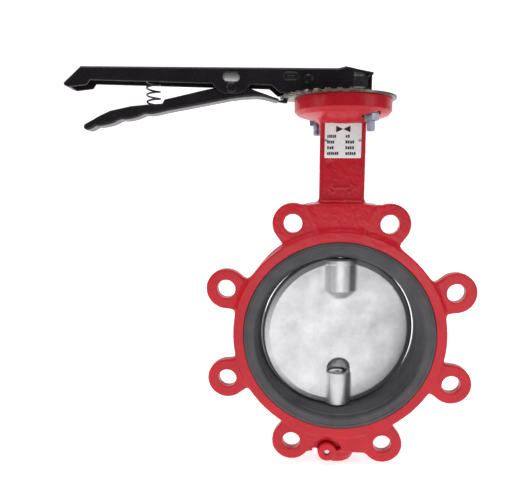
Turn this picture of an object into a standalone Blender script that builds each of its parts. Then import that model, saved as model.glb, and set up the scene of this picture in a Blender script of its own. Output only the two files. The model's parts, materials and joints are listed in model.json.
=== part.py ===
"""Lever-operated semi-lug butterfly valve for a 150 mm pipe line.

Frame: +Z is up along the stem, Y is the pipe axis, -Y is the front and the origin is the
centre of the bore.  Everything that turns with the stem is parented to the empty
stem_axis, which stands OPEN_ANGLE away from shut.
"""
import math

import bmesh
import bpy
from mathutils import Matrix, Vector

MM = 0.001
CLEAR = 0.3 * MM            # assembly gap between neighbouring pieces
ROUND = 60                  # segments of the large circles
SMALL = 24                  # segments of the small circles

# Position of the stem, and of the notches it can rest in
OPEN_ANGLE = math.radians(10)
NOTCH_STEP = math.radians(10)
NOTCH_COUNT = 10

# Disc and bore
DISC_R = 77.8 * MM
DISC_FACE_R = 70.5 * MM
DISC_HALF_T = 6.5 * MM
DISC_RIM_HALF_T = 2.4 * MM
FACE_TO_FACE = 56 * MM

# Rubber seat
LINER_WALL = 8.6 * MM
LINER_FLANGE_R = 93.5 * MM
LINER_FLANGE_T = 7.7 * MM
LINER_LIP_R = 82.0 * MM
LINER_LIP_DEPTH = 5.5 * MM
LINER_PROUD = 0.7 * MM
LINER_THROAT_HALF = 12 * MM

# Body ring
RING_R = 104 * MM
RING_WAIST_R = 99.5 * MM
RING_WAIST_FRONT = -2 * MM
RING_WAIST_BACK = 15 * MM
RING_WAIST_SLOPE = 5 * MM

# Lugs
LUG_COUNT = 8
LUG_PITCH_R = 120 * MM
LUG_R = 19.7 * MM
LUG_HOLE_R = 9.0 * MM
LUG_T = 10.5 * MM
LUG_SETBACK = 3.3 * MM
LUG_FILLET = 9 * MM

# Neck and top flange
NECK_W = 43 * MM
NECK_D = 36 * MM
NECK_CORNER = 4 * MM
TOP_Z = 227 * MM
FLANGE_R = 46 * MM
FLANGE_RIM_H = 11 * MM
FLANGE_BELL_H = 21 * MM
SHOULDER_Z = 130 * MM
SHOULDER_HALF_TOP = 35 * MM
SHOULDER_HALF_FOOT = 22.5 * MM
SHOULDER_SETBACK = 1.1 * MM
SHOULDER_BACK = 22 * MM

# Bottom boss
BOTTOM_Z = -137 * MM
BOSS_R = 19.3 * MM
PAD_Z = -121 * MM
PAD_HALF_FOOT = 28.8 * MM
PAD_HALF_ROOT = 30 * MM
PAD_SETBACK = 2.1 * MM
PAD_BACK = 18 * MM
PIN_BOSS_R = 9.3 * MM

# Stem, shaft and bushes
STEM_R = 9.5 * MM
BUSH_WALL = 2.2 * MM
BUSH_SHOULDER_Z = 91.6 * MM
LOWER_BUSH_L = 22 * MM
MIDDLE_BUSH_L = 24 * MM
UPPER_BUSH_L = 31 * MM
UPPER_BUSH_TOP_Z = 213 * MM
O_RING_R = 1.05 * MM
O_RING_PITCH = 3.6 * MM
DRIVE_AF = 14 * MM
DRIVE_L = 8 * MM
DRIVE_TOP_Z = 44 * MM
SQUARE_AF = 13.4 * MM
WASHER_R = 16.6 * MM
WASHER_T = 1.8 * MM
CIRCLIP_R = 13.5 * MM
CIRCLIP_T = 1.7 * MM
GROOVE_DEPTH = 1.0 * MM
RECESS_DEPTH = 5 * MM
SHAFT_TOP_Z = -43.8 * MM
SHAFT_PIN_R = 2.5 * MM
SHAFT_PIN_L = 34 * MM
SHAFT_PIN_Z = -121 * MM
SHAFT_GROOVE_R = 6.6 * MM
PLUG_T = 7.5 * MM

# Disc hubs
UPPER_HUB_R = 15.2 * MM
UPPER_HUB_FOOT_Z = 43 * MM
UPPER_HUB_TIP_Z = 33 * MM
LOWER_HUB_R = 13.2 * MM
LOWER_HUB_TOP_Z = -42 * MM
POCKET_R = 12 * MM
POCKET_TOP_Z = -27 * MM
POCKET_OFFSET = 9 * MM

# Flange screws
SCREW_PITCH_R = 35 * MM
SCREW_R = 4 * MM
SCREW_HEAD_R = 7.6 * MM
SCREW_END_Z = 196 * MM
SCREW_SEAT_T = 13 * MM
NUT_AF = 13 * MM
NUT_T = 6.5 * MM
SPRING_WASHER_T = 1.6 * MM
SPRING_WASHER_R = 7.2 * MM

# Notch plate
PLATE_T = 2 * MM
PLATE_R = 50.2 * MM
SECTOR_R = 60 * MM
NOTCH_ROOT_R = 52.5 * MM
NOTCH_W = 5.8 * MM

# Name plate
NAMEPLATE_W = 33.9 * MM
NAMEPLATE_H = 31.9 * MM
NAMEPLATE_T = 0.8 * MM
NAMEPLATE_Z = 188.2 * MM
NAMEPLATE_RIVET_X = 15.6 * MM

# Handle: a pressed channel, open underneath, reaching along local -X
HANDLE_LENGTH = 253 * MM
HANDLE_W = 26 * MM
HANDLE_SHEET = 2.2 * MM
HANDLE_TOP_Z = 254.4 * MM
HANDLE_DROOP = 4.7 * MM
HANDLE_EDGE_Z = 237.4 * MM
HANDLE_NOSE_Z = 231.6 * MM
HANDLE_NOSE_RISE = 2.2 * MM
HANDLE_SLANT = 15.5 * MM
HANDLE_NOSE_L = 21 * MM
HANDLE_TIP_WALL = 5.5 * MM
HANDLE_CHEEK_END = 7.2 * MM
HEAD_LENGTH = 61.5 * MM
HEAD_SLANT = 8 * MM
HEAD_GAP = 1.3 * MM
HEAD_CREST = 1.4 * MM
TONGUE_END = 26 * MM
TONGUE_DROP = 4.6 * MM
TAB_X = 22.6 * MM
SLOT_L = 15.6 * MM
SLOT_H = 8 * MM
SLOT_Z = 243.4 * MM
PIVOT_X = -106 * MM
PIVOT_Z = 234 * MM
PIVOT_R = 3 * MM
PIVOT_EAR_R = 5.2 * MM
EAR_HALF_ROOT = 17 * MM
EAR_HALF_FOOT = 7 * MM
HEAD_RIVET_X = -35.5 * MM

# Clamp that joins the handle to the stem
CLAMP_BOTTOM_Z = 238.3 * MM
CLAMP_T = 9.3 * MM
CLAMP_GRIP_X = -44 * MM
CLAMP_TAIL_X = 22.2 * MM
CLAMP_SCREW_X = 15 * MM
CLAMP_SCREW_R = 2.8 * MM
CLAMP_SCREW_WALL = 3 * MM
CLAMP_SLIT = 2 * MM

# Trigger: a pressed channel, open on top, hung inside the handle
TRIGGER_SHEET = 2 * MM
TRIGGER_TIP_X = -238.5 * MM
TRIGGER_STEP_X = -167.5 * MM
TRIGGER_NOSE_X = -62.5 * MM
LOBE_START = -227.6 * MM
LOBE_PITCH = 21.7 * MM
LOBE_RISE = 2.2 * MM
LOBE_STEPS = 8
TOOTH_X = -53.6 * MM
TOOTH_L = 4 * MM
TOOTH_W = 4.6 * MM

# Latch spring
SPRING_X = -177 * MM
SPRING_R = 5.9 * MM
SPRING_WIRE_R = 0.85 * MM
SPRING_BOTTOM_Z = 214.4 * MM
SPRING_TURNS = 6
STUD_L = 5 * MM

# Sizes that follow from the ones above
LINER_BORE_R = DISC_R + CLEAR
LINER_CORE_R = LINER_BORE_R + LINER_WALL
HALF_FACE = FACE_TO_FACE / 2
BODY_HALF = HALF_FACE - LINER_PROUD
BODY_BORE_R = LINER_CORE_R + CLEAR
BUSH_IN_R = STEM_R + CLEAR
BUSH_OUT_R = BUSH_IN_R + BUSH_WALL
STEM_BORE_R = BUSH_OUT_R + CLEAR
PLATE_BOTTOM_Z = TOP_Z + CLEAR
PLATE_TOP_Z = PLATE_BOTTOM_Z + PLATE_T
HEAD_EDGE_Z = PLATE_TOP_Z + HEAD_GAP
CLAMP_TOP_Z = CLAMP_BOTTOM_Z + CLAMP_T
CHEEK_IN = HANDLE_W / 2 - HANDLE_SHEET
CLAMP_HALF = CHEEK_IN - CLEAR
TRIGGER_HALF = CHEEK_IN - 0.5 * MM
TOOTH_TOP_Z = PLATE_BOTTOM_Z - 0.4 * MM


# ---------------------------------------------------------------- scene and materials

def clear_scene():
    """Empty the file, so the script can be run again from the text editor."""
    for item in list(bpy.data.objects):
        bpy.data.objects.remove(item, do_unlink=True)
    for group in list(bpy.data.collections):
        bpy.data.collections.remove(group)


def new_collection(name):
    group = bpy.data.collections.new(name)
    bpy.context.scene.collection.children.link(group)
    return group


def linear(value):
    """One sRGB channel, 0 to 255, as linear light."""
    share = value / 255
    if share <= 0.04045:
        return share / 12.92
    return ((share + 0.055) / 1.055) ** 2.4


def material(name, srgb, roughness, metallic):
    made = bpy.data.materials.new(name)
    made.use_nodes = True
    shader = made.node_tree.nodes["Principled BSDF"]
    shader.inputs["Base Color"].default_value = (*[linear(v) for v in srgb], 1)
    shader.inputs["Roughness"].default_value = roughness
    shader.inputs["Metallic"].default_value = metallic
    return made


clear_scene()
PARTS = new_collection("butterfly_valve")
CUTTERS = new_collection("cutters")

RED_PAINT = material("red_paint", (190, 18, 36), 0.35, 0.0)
BLACK_RUBBER = material("black_rubber", (44, 42, 44), 0.6, 0.0)
DISC_METAL = material("disc_metal", (205, 205, 207), 0.3, 1.0)
STAINLESS = material("stainless_steel", (180, 182, 186), 0.3, 1.0)
ZINC = material("zinc_plate", (150, 155, 170), 0.4, 1.0)
BLACK_ENAMEL = material("black_enamel", (22, 20, 22), 0.35, 0.0)
BARE_STEEL = material("bare_steel", (110, 108, 105), 0.45, 1.0)
BRONZE = material("bronze", (176, 132, 78), 0.4, 1.0)
PTFE = material("ptfe", (232, 230, 224), 0.5, 0.0)
WHITE_PLATE = material("white_plate", (238, 238, 236), 0.35, 0.0)


# ---------------------------------------------------------------- shape helpers

def new_object(name, mesh, parent, finish):
    """Put a mesh in the parts collection, or among the cutters when it has no finish."""
    item = bpy.data.objects.new(name, mesh)
    item.parent = parent
    if finish is None:
        CUTTERS.objects.link(item)
        item.hide_render = True
        item.display_type = 'WIRE'
    else:
        PARTS.objects.link(item)
        mesh.materials.append(finish)
    return item


def smooth(item):
    item.data.shade_smooth()
    item.data.set_sharp_from_angle(angle=math.radians(35))


def turned(name, profile, parent=None, finish=None, steps=SMALL, along_y=False):
    """A turned piece: (radius, height) points, down the outer side from the top."""
    mesh = bpy.data.meshes.new(name)
    closed = profile[0][0] > 0 and profile[-1][0] > 0
    count = len(profile)
    edges = [(i, i + 1) for i in range(count - 1)]
    if closed:
        edges.append((count - 1, 0))
    mesh.from_pydata([(r, 0, h) for r, h in profile], edges, [])
    item = new_object(name, mesh, parent, finish)
    if along_y:
        item.rotation_euler = (-math.pi / 2, 0, 0)
    screw = item.modifiers.new("turn", 'SCREW')
    screw.axis = 'Z'
    screw.angle = 2 * math.pi
    screw.steps = steps
    screw.render_steps = steps
    screw.use_merge_vertices = True
    screw.merge_threshold = 0.00001
    screw.use_smooth_shade = True
    return item


def ring(name, inner, outer, bottom, top, parent=None, finish=None, steps=SMALL):
    """A plain washer, bush or ring standing between two heights."""
    profile = [(outer, top), (outer, bottom), (inner, bottom), (inner, top)]
    return turned(name, profile, parent, finish, steps)


def mesh_object(name, shape, matrix, parent, finish):
    mesh = bpy.data.meshes.new(name)
    shape.transform(matrix)
    shape.to_mesh(mesh)
    shape.free()
    item = new_object(name, mesh, parent, finish)
    smooth(item)
    return item


def cylinder(name, radius, low, high, centre=(0, 0), axis='Z', parent=None, finish=None,
             segments=SMALL, radius_high=None):
    """A cylinder or cone between two stations on an axis; centre is the other two."""
    shape = bmesh.new()
    top = radius if radius_high is None else radius_high
    bmesh.ops.create_cone(shape, cap_ends=True, segments=segments, radius1=radius,
                          radius2=top, depth=high - low)
    middle = (low + high) / 2
    if axis == 'Z':
        matrix = Matrix.Translation((centre[0], centre[1], middle))
    else:
        matrix = Matrix.Translation((centre[0], middle, centre[1]))
        matrix = matrix @ Matrix.Rotation(-math.pi / 2, 4, 'X')
    return mesh_object(name, shape, matrix, parent, finish)


def box(name, low, high, parent=None, finish=None):
    shape = bmesh.new()
    bmesh.ops.create_cube(shape, size=1)
    size = Vector(high) - Vector(low)
    matrix = Matrix.Translation((Vector(low) + Vector(high)) / 2)
    matrix = matrix @ Matrix.Diagonal((*size, 1))
    return mesh_object(name, shape, matrix, parent, finish)


def prism(name, outlines, low, high, axis='Z', parent=None, finish=None):
    """Flat outlines, the first one outside and the others holes, extruded along an axis.

    Along Z an outline is (x, y); along Y it is (x, z).
    """
    curve = bpy.data.curves.new(name, 'CURVE')
    curve.dimensions = '2D'
    curve.fill_mode = 'BOTH'
    curve.extrude = (high - low) / 2
    for outline in outlines:
        spline = curve.splines.new('POLY')
        spline.points.add(len(outline) - 1)
        for point, (a, b) in zip(spline.points, outline):
            point.co = (a, b, 0, 1)
        spline.use_cyclic_u = True
    draft = bpy.data.objects.new(name + "_outline", curve)
    CUTTERS.objects.link(draft)
    bpy.context.view_layer.update()
    evaluated = draft.evaluated_get(bpy.context.evaluated_depsgraph_get())
    mesh = bpy.data.meshes.new_from_object(evaluated)
    bpy.data.objects.remove(draft)
    shape = bmesh.new()
    shape.from_mesh(mesh)
    bpy.data.meshes.remove(mesh)
    bmesh.ops.remove_doubles(shape, verts=shape.verts, dist=0.000005)
    middle = (low + high) / 2
    if axis == 'Z':
        matrix = Matrix.Translation((0, 0, middle))
    else:
        matrix = Matrix.Translation((0, middle, 0)) @ Matrix.Rotation(math.pi / 2, 4, 'X')
    return mesh_object(name, shape, matrix, parent, finish)


def combine(target, operation, *tools):
    """Boolean the target with tools that lie in the same frame."""
    for tool in tools:
        step = target.modifiers.new(tool.name, 'BOOLEAN')
        step.operation = operation
        step.solver = 'EXACT'
        step.object = tool


def join(target, *tools):
    combine(target, 'UNION', *tools)


def cut(target, *tools):
    combine(target, 'DIFFERENCE', *tools)


def arc(centre, radius, start, end, count):
    """Points along an arc, both ends included, angles in radians."""
    step = (end - start) / (count - 1)
    angles = [start + step * i for i in range(count)]
    return [(centre[0] + radius * math.cos(a), centre[1] + radius * math.sin(a))
            for a in angles]


def circle(centre, radius, count):
    return arc(centre, radius, 0, 2 * math.pi * (count - 1) / count, count)


def rounded_rectangle(width, depth, radius):
    outline = []
    for quarter, (sx, sy) in enumerate([(1, 1), (-1, 1), (-1, -1), (1, -1)]):
        centre = (sx * (width / 2 - radius), sy * (depth / 2 - radius))
        start = quarter * math.pi / 2
        outline += arc(centre, radius, start, start + math.pi / 2, 5)
    return outline


def hexagon(across_flats, turn=0.0):
    radius = across_flats / math.sqrt(3)
    return [(radius * math.cos(turn + k * math.pi / 3),
             radius * math.sin(turn + k * math.pi / 3)) for k in range(6)]


def square(half):
    return [(half, half), (-half, half), (-half, -half), (half, -half)]


def shifted(outline, centre):
    return [(x + centre[0], y + centre[1]) for x, y in outline]


def polar(radius, angle):
    return (radius * math.cos(angle), radius * math.sin(angle))


# ---------------------------------------------------------------- body casting

def lug_angles():
    step = 2 * math.pi / LUG_COUNT
    return [step * (k + 0.5) for k in range(LUG_COUNT)]


def lug_plate_outline():
    """All lugs in one outline: round ends that run into the ring through coves."""
    root = RING_R - 0.5 * MM
    far = root + LUG_FILLET
    reach = LUG_R + LUG_FILLET
    spread = math.acos((far ** 2 + LUG_PITCH_R ** 2 - reach ** 2) / (2 * far * LUG_PITCH_R))
    outline = []
    for angle in lug_angles():
        lug = Vector(polar(LUG_PITCH_R, angle))
        sides = []
        for sign in (-1, 1):
            cove = Vector(polar(far, angle + sign * spread))
            to_ring = math.atan2(-cove.y, -cove.x)
            to_lug = math.atan2(lug.y - cove.y, lug.x - cove.x)
            turn = (to_lug - to_ring + math.pi) % (2 * math.pi) - math.pi
            sides.append((cove, to_ring, turn))
        cove, start, turn = sides[0]
        outline.append(polar(RING_R - 6 * MM, angle - spread))
        outline += arc(cove, LUG_FILLET, start, start + turn, 4)
        first = sides[0][1] + sides[0][2] + math.pi
        last = sides[1][1] + sides[1][2] + math.pi
        sweep = (last - first) % (2 * math.pi)
        outline += arc(lug, LUG_R, first, first + sweep, 15)[1:-1]
        cove, start, turn = sides[1]
        outline += arc(cove, LUG_FILLET, start + turn, start, 4)
        outline.append(polar(RING_R - 6 * MM, angle + spread))
    return outline


def ring_profile():
    """Section of the ring: recessed for the seat's flanges, with a cored waist."""
    seat = LINER_FLANGE_R + CLEAR
    floor = HALF_FACE - LINER_FLANGE_T - CLEAR
    return [(RING_R, BODY_HALF), (RING_R, RING_WAIST_BACK + RING_WAIST_SLOPE),
            (RING_WAIST_R, RING_WAIST_BACK), (RING_WAIST_R, RING_WAIST_FRONT),
            (RING_R, RING_WAIST_FRONT - RING_WAIST_SLOPE), (RING_R, -BODY_HALF),
            (seat, -BODY_HALF), (seat, -floor), (BODY_BORE_R, -floor),
            (BODY_BORE_R, floor), (seat, floor), (seat, BODY_HALF)]


def flange_profile():
    """The top flange: a rim that runs down into the neck like a bowl."""
    rim_z = TOP_Z - FLANGE_RIM_H
    foot_z = TOP_Z - FLANGE_BELL_H
    foot_r = NECK_D / 2
    bowl = []
    for k in range(6):
        share = k / 5
        turn = share * math.pi / 2
        radius = foot_r + (FLANGE_R - foot_r) * math.cos(turn) ** 0.8
        bowl.append((radius, rim_z - (rim_z - foot_z) * math.sin(turn) ** 0.9))
    return [(0, TOP_Z), (FLANGE_R, TOP_Z)] + bowl + [(0, foot_z)]


def boss_profile():
    side_z = BOTTOM_Z + 8 * MM
    return [(0, -92 * MM), (BOSS_R, -92 * MM), (BOSS_R, side_z),
            (BOSS_R - 2 * MM, BOTTOM_Z + 2.6 * MM), (BOSS_R - 5.4 * MM, BOTTOM_Z),
            (0, BOTTOM_Z)]


def screw_centres():
    return [polar(SCREW_PITCH_R, math.radians(angle)) for angle in (135, 315)]


def body_casting():
    body = turned("valve_body", ring_profile(), None, RED_PAINT, ROUND, along_y=True)
    lug_front = -BODY_HALF + LUG_SETBACK
    holes = [circle(polar(LUG_PITCH_R, a), LUG_HOLE_R, 20) for a in lug_angles()]
    bore = circle((0, 0), RING_R - 8 * MM, ROUND)
    lugs = prism("lugs", [lug_plate_outline(), bore] + holes, lug_front,
                 lug_front + LUG_T, 'Y')
    root_z = RING_R - 9 * MM
    foot_z = RING_R - 1 * MM
    shoulder_outline = [(-SHOULDER_HALF_FOOT + 2.5 * MM, root_z),
                        (SHOULDER_HALF_FOOT - 2.5 * MM, root_z),
                        (SHOULDER_HALF_FOOT, foot_z),
                        (SHOULDER_HALF_TOP, SHOULDER_Z - 1.5 * MM),
                        (NECK_W / 2, SHOULDER_Z), (-NECK_W / 2, SHOULDER_Z),
                        (-SHOULDER_HALF_TOP, SHOULDER_Z - 1.5 * MM),
                        (-SHOULDER_HALF_FOOT, foot_z)]
    shoulder = prism("shoulder", [shoulder_outline], -BODY_HALF + SHOULDER_SETBACK,
                     SHOULDER_BACK, 'Y')
    neck = prism("neck", [rounded_rectangle(NECK_W, NECK_D, NECK_CORNER)], root_z + MM,
                 TOP_Z - FLANGE_RIM_H)
    flange = turned("flange", flange_profile(), steps=40)
    pad_outline = [(-PAD_HALF_ROOT, -root_z), (-PAD_HALF_ROOT, -RING_R),
                   (-PAD_HALF_FOOT, PAD_Z), (PAD_HALF_FOOT, PAD_Z),
                   (PAD_HALF_ROOT, -RING_R), (PAD_HALF_ROOT, -root_z)]
    pad = prism("pad", [pad_outline], -BODY_HALF + PAD_SETBACK, PAD_BACK, 'Y')
    boss = turned("boss", boss_profile(), steps=28)
    pin_x = -(SHAFT_GROOVE_R + CLEAR + SHAFT_PIN_R)
    pin_boss = cylinder("pin_boss", PIN_BOSS_R, -BODY_HALF + 0.8 * MM, -8 * MM,
                        (pin_x, SHAFT_PIN_Z), 'Y')
    join(body, lugs, shoulder, neck, flange, pad, boss, pin_boss)
    reach = 20 * MM
    for sign, name in ((1, "upper"), (-1, "lower")):
        end = TOP_Z if sign > 0 else -BOTTOM_Z
        low, high = sorted((sign * BUSH_SHOULDER_Z, sign * (end + MM)))
        wide = cylinder(name + "_stem_bore", STEM_BORE_R, low, high)
        low, high = sorted((sign * (BUSH_SHOULDER_Z - reach), sign * (BUSH_SHOULDER_Z + MM)))
        narrow = cylinder(name + "_shaft_bore", BUSH_IN_R, low, high)
        cut(body, wide, narrow)
    cut(body, cylinder("flange_recess", WASHER_R + 0.4 * MM, TOP_Z - RECESS_DEPTH, TOP_Z + MM))
    for k, centre in enumerate(screw_centres(), 1):
        pocket_r = NUT_AF / math.sqrt(3) + 0.5 * MM
        pocket = cylinder(f"nut_pocket_{k}", pocket_r, SCREW_END_Z, TOP_Z - SCREW_SEAT_T,
                          centre)
        hole = cylinder(f"flange_hole_{k}", SCREW_R + 0.4 * MM, SCREW_END_Z, TOP_Z + MM,
                        centre, segments=16)
        sink_r = SCREW_HEAD_R + 0.3 * MM - PLATE_T
        sink = cylinder(f"flange_sink_{k}", SCREW_R, TOP_Z - (sink_r - SCREW_R), TOP_Z + MM,
                        centre, segments=16, radius_high=sink_r + MM)
        cut(body, pocket, hole, sink)
    cut(body, cylinder("pin_hole", SHAFT_PIN_R + CLEAR, -BODY_HALF - MM,
                       -BODY_HALF + SHAFT_PIN_L + 3 * MM, (pin_x, SHAFT_PIN_Z), 'Y',
                       segments=16))
    for sign in (-1, 1):
        cut(body, cylinder(f"rivet_hole_{sign}", 0.9 * MM, -NECK_D / 2 - MM,
                           -NECK_D / 2 + 4 * MM, (sign * NAMEPLATE_RIVET_X, NAMEPLATE_Z),
                           'Y', segments=10))
    return body


def seat_liner():
    """Rubber seat with a coned lip at each face, pierced for the stem and the shaft."""
    inner_lip = HALF_FACE - LINER_LIP_DEPTH
    back = HALF_FACE - LINER_FLANGE_T
    edge = LINER_FLANGE_R - 0.6 * MM
    half = [(edge, HALF_FACE), (LINER_FLANGE_R, HALF_FACE - 0.6 * MM),
            (LINER_FLANGE_R, back), (LINER_CORE_R, back)]
    inner = [(LINER_LIP_R, inner_lip), (LINER_LIP_R - 0.9 * MM, inner_lip - 1.2 * MM),
             (LINER_BORE_R, LINER_THROAT_HALF)]
    mirrored = [(r, -h) for r, h in reversed(half)]
    mirrored_inner = [(r, -h) for r, h in inner]
    profile = half + mirrored + mirrored_inner + list(reversed(inner))
    liner = turned("seat_liner", profile, None, BLACK_RUBBER, ROUND, along_y=True)
    depth = LINER_FLANGE_R
    for sign, name in ((1, "liner_top_hole"), (-1, "liner_bottom_hole")):
        low, high = sorted((sign * (LINER_BORE_R - 10 * MM), sign * depth))
        cut(liner, cylinder(name, BUSH_IN_R, low, high))
    return liner


# ---------------------------------------------------------------- bearings and seals

def bearings():
    lower = -BUSH_SHOULDER_Z - CLEAR
    middle = BUSH_SHOULDER_Z + CLEAR
    top = UPPER_BUSH_TOP_Z
    ring("lower_bush", BUSH_IN_R, BUSH_OUT_R, lower - LOWER_BUSH_L, lower, None, BRONZE)
    ring("middle_bush", BUSH_IN_R, BUSH_OUT_R, middle, middle + MIDDLE_BUSH_L, None, BRONZE)
    ring("upper_bush", BUSH_IN_R, BUSH_OUT_R, top - UPPER_BUSH_L, top, None, BRONZE)
    centre_r = (BUSH_IN_R + BUSH_OUT_R) / 2
    for k in (1, 2):
        height = top + O_RING_PITCH * (k - 1) + O_RING_R + 2 * CLEAR
        section = [(centre_r + O_RING_R * math.sin(a), height + O_RING_R * math.cos(a))
                   for a in [2 * math.pi * i / 6 for i in range(6)]]
        turned(f"stem_o_ring_{k}", section, None, BLACK_RUBBER, 20)
    floor = TOP_Z - RECESS_DEPTH + CLEAR
    ring("thrust_washer", BUSH_IN_R, WASHER_R, floor, floor + WASHER_T, None, PTFE)


def circlip_bottom_z():
    return TOP_Z - RECESS_DEPTH + 2 * CLEAR + WASHER_T


def bottom_fittings():
    """Threaded plug under the shaft, and the cross pin that holds the shaft down."""
    low = BOTTOM_Z + CLEAR
    plug = turned("bottom_plug", [(0, low + PLUG_T), (BUSH_OUT_R - 0.6 * MM, low + PLUG_T),
                                  (BUSH_OUT_R, low + PLUG_T - 0.6 * MM), (BUSH_OUT_R, low),
                                  (0, low)], None, ZINC)
    cut(plug, prism("plug_socket", [hexagon(8 * MM)], low - MM, low + 4 * MM))
    pin_x = -(SHAFT_GROOVE_R + CLEAR + SHAFT_PIN_R)
    front = -BODY_HALF + 3 * MM
    cylinder("lower_shaft_pin", SHAFT_PIN_R, front, front + SHAFT_PIN_L,
             (pin_x, SHAFT_PIN_Z), 'Y', None, STAINLESS, 16)


def lower_shaft():
    """Short shaft under the disc, grooved for its cross pin."""
    chamfer = 0.6 * MM
    groove = SHAFT_PIN_R + 2 * CLEAR
    end = BOTTOM_Z + PLUG_T + 3 * CLEAR
    turned("lower_shaft", [(0, SHAFT_TOP_Z - 2 * MM), (1.8 * MM, SHAFT_TOP_Z),
                           (STEM_R - chamfer, SHAFT_TOP_Z),
                           (STEM_R, SHAFT_TOP_Z - chamfer),
                           (STEM_R, SHAFT_PIN_Z + groove),
                           (SHAFT_GROOVE_R, SHAFT_PIN_Z + groove),
                           (SHAFT_GROOVE_R, SHAFT_PIN_Z - groove),
                           (STEM_R, SHAFT_PIN_Z - groove), (STEM_R, end), (0, end)],
           None, STAINLESS)


# ---------------------------------------------------------------- disc and stem

def sphere_height(radius):
    """Height at which a hub of this radius meets the disc's own sphere."""
    return math.sqrt(DISC_R ** 2 - radius ** 2)


def disc(stem_axis):
    rim = [(DISC_FACE_R, DISC_HALF_T), (DISC_R - 2.3 * MM, DISC_HALF_T - 1.7 * MM),
           (DISC_R - 0.3 * MM, DISC_RIM_HALF_T), (DISC_R, DISC_RIM_HALF_T - 1.4 * MM)]
    profile = [(0, DISC_HALF_T)] + rim + [(r, -h) for r, h in reversed(rim)]
    profile.append((0, -DISC_HALF_T))
    plate = turned("disc", profile, stem_axis, DISC_METAL, ROUND, along_y=True)
    crown = [(UPPER_HUB_R * k / 3, sphere_height(UPPER_HUB_R * k / 3)) for k in range(4)]
    upper = turned("upper_hub", crown + [(UPPER_HUB_R, UPPER_HUB_FOOT_Z),
                                         (UPPER_HUB_R * 0.6, UPPER_HUB_FOOT_Z - 6 * MM),
                                         (0, UPPER_HUB_TIP_Z)], stem_axis, steps=32)
    crown = [(LOWER_HUB_R * k / 3, -sphere_height(LOWER_HUB_R * k / 3)) for k in range(4)]
    lower = turned("lower_hub", [(0, LOWER_HUB_TOP_Z), (LOWER_HUB_R, LOWER_HUB_TOP_Z)]
                   + list(reversed(crown)), stem_axis, steps=32)
    join(plate, upper, lower)
    dome = [(POCKET_R * math.sin(a), LOWER_HUB_TOP_Z + 4 * MM
             + (POCKET_TOP_Z - LOWER_HUB_TOP_Z - 4 * MM) * math.cos(a))
            for a in [math.pi / 2 * k / 5 for k in range(6)]]
    pocket = turned("shaft_pocket", dome + [(POCKET_R, LOWER_HUB_TOP_Z),
                                            (0, LOWER_HUB_TOP_Z)], stem_axis)
    pocket.location = (0, -POCKET_OFFSET, 0)
    socket = DRIVE_TOP_Z - CLEAR
    bore = cylinder("disc_stem_bore", BUSH_IN_R, socket, DISC_R + MM, parent=stem_axis)
    drive = prism("disc_drive_socket", [hexagon(DRIVE_AF + 2 * CLEAR)],
                  DRIVE_TOP_Z - DRIVE_L - CLEAR, socket + MM, parent=stem_axis)
    shaft = cylinder("disc_shaft_bore", BUSH_IN_R, -DISC_R - MM, LOWER_HUB_TOP_Z + MM,
                     parent=stem_axis)
    cut(plate, pocket, bore, drive, shaft)
    return plate


def upper_stem(stem_axis):
    """Stem with a hexagon drive in the disc, a circlip groove and a square on top."""
    groove_low = circlip_bottom_z() - 0.15 * MM
    groove_high = groove_low + CIRCLIP_T + CLEAR
    square_z = CLAMP_BOTTOM_Z - CLEAR
    stem = turned("upper_stem", [(0, square_z), (STEM_R, square_z),
                                 (STEM_R, groove_high), (STEM_R - GROOVE_DEPTH, groove_high),
                                 (STEM_R - GROOVE_DEPTH, groove_low), (STEM_R, groove_low),
                                 (STEM_R, DRIVE_TOP_Z), (0, DRIVE_TOP_Z)],
                  stem_axis, STAINLESS)
    drive = prism("stem_drive", [hexagon(DRIVE_AF)], DRIVE_TOP_Z - DRIVE_L,
                  DRIVE_TOP_Z + MM, parent=stem_axis)
    top = prism("stem_square", [square(SQUARE_AF / 2)], square_z - MM,
                CLAMP_TOP_Z - CLEAR, parent=stem_axis)
    join(stem, drive, top)
    low = circlip_bottom_z()
    clip = ring("stem_circlip", STEM_R - GROOVE_DEPTH + CLEAR, CIRCLIP_R, low,
                low + CIRCLIP_T, stem_axis, BARE_STEEL)
    cut(clip, box("circlip_gap", (0, -3 * MM, low - MM), (CIRCLIP_R + MM, 3 * MM,
                                                          low + CIRCLIP_T + MM), stem_axis))


# ---------------------------------------------------------------- top flange hardware

def notch_angles():
    return [math.pi + NOTCH_STEP * k for k in range(NOTCH_COUNT)]


def plate_outline():
    """Round plate whose left front sector stands out and carries the notches."""
    margin = math.radians(6)
    outer = math.asin(NOTCH_W / 2 / SECTOR_R)
    inner = math.asin(NOTCH_W / 2 / NOTCH_ROOT_R)
    angles = notch_angles()
    start = angles[0] - margin
    end = angles[-1] + margin
    outline = [polar(SECTOR_R, start)]
    for angle in angles:
        outline += [polar(SECTOR_R, angle - outer), polar(NOTCH_ROOT_R, angle - inner),
                    polar(NOTCH_ROOT_R, angle + inner), polar(SECTOR_R, angle + outer)]
    outline.append(polar(SECTOR_R, end))
    blend = math.radians(9)
    outline += arc((0, 0), PLATE_R, end + blend, start + 2 * math.pi - blend, 44)
    return outline


def notch_plate():
    hole = circle((0, 0), STEM_R + 0.8 * MM, SMALL)
    plate = prism("notch_plate", [plate_outline(), hole], PLATE_BOTTOM_Z, PLATE_TOP_Z,
                  finish=BARE_STEEL)
    for k, centre in enumerate(screw_centres(), 1):
        sink_r = SCREW_HEAD_R + 0.3 * MM
        sink = cylinder(f"plate_sink_{k}", sink_r - PLATE_T - MM, PLATE_BOTTOM_Z - MM,
                        PLATE_TOP_Z, centre, segments=16, radius_high=sink_r)
        lip = cylinder(f"plate_sink_top_{k}", sink_r, PLATE_TOP_Z - 0.05 * MM,
                       PLATE_TOP_Z + MM, centre, segments=16)
        cut(plate, sink, lip)


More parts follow.
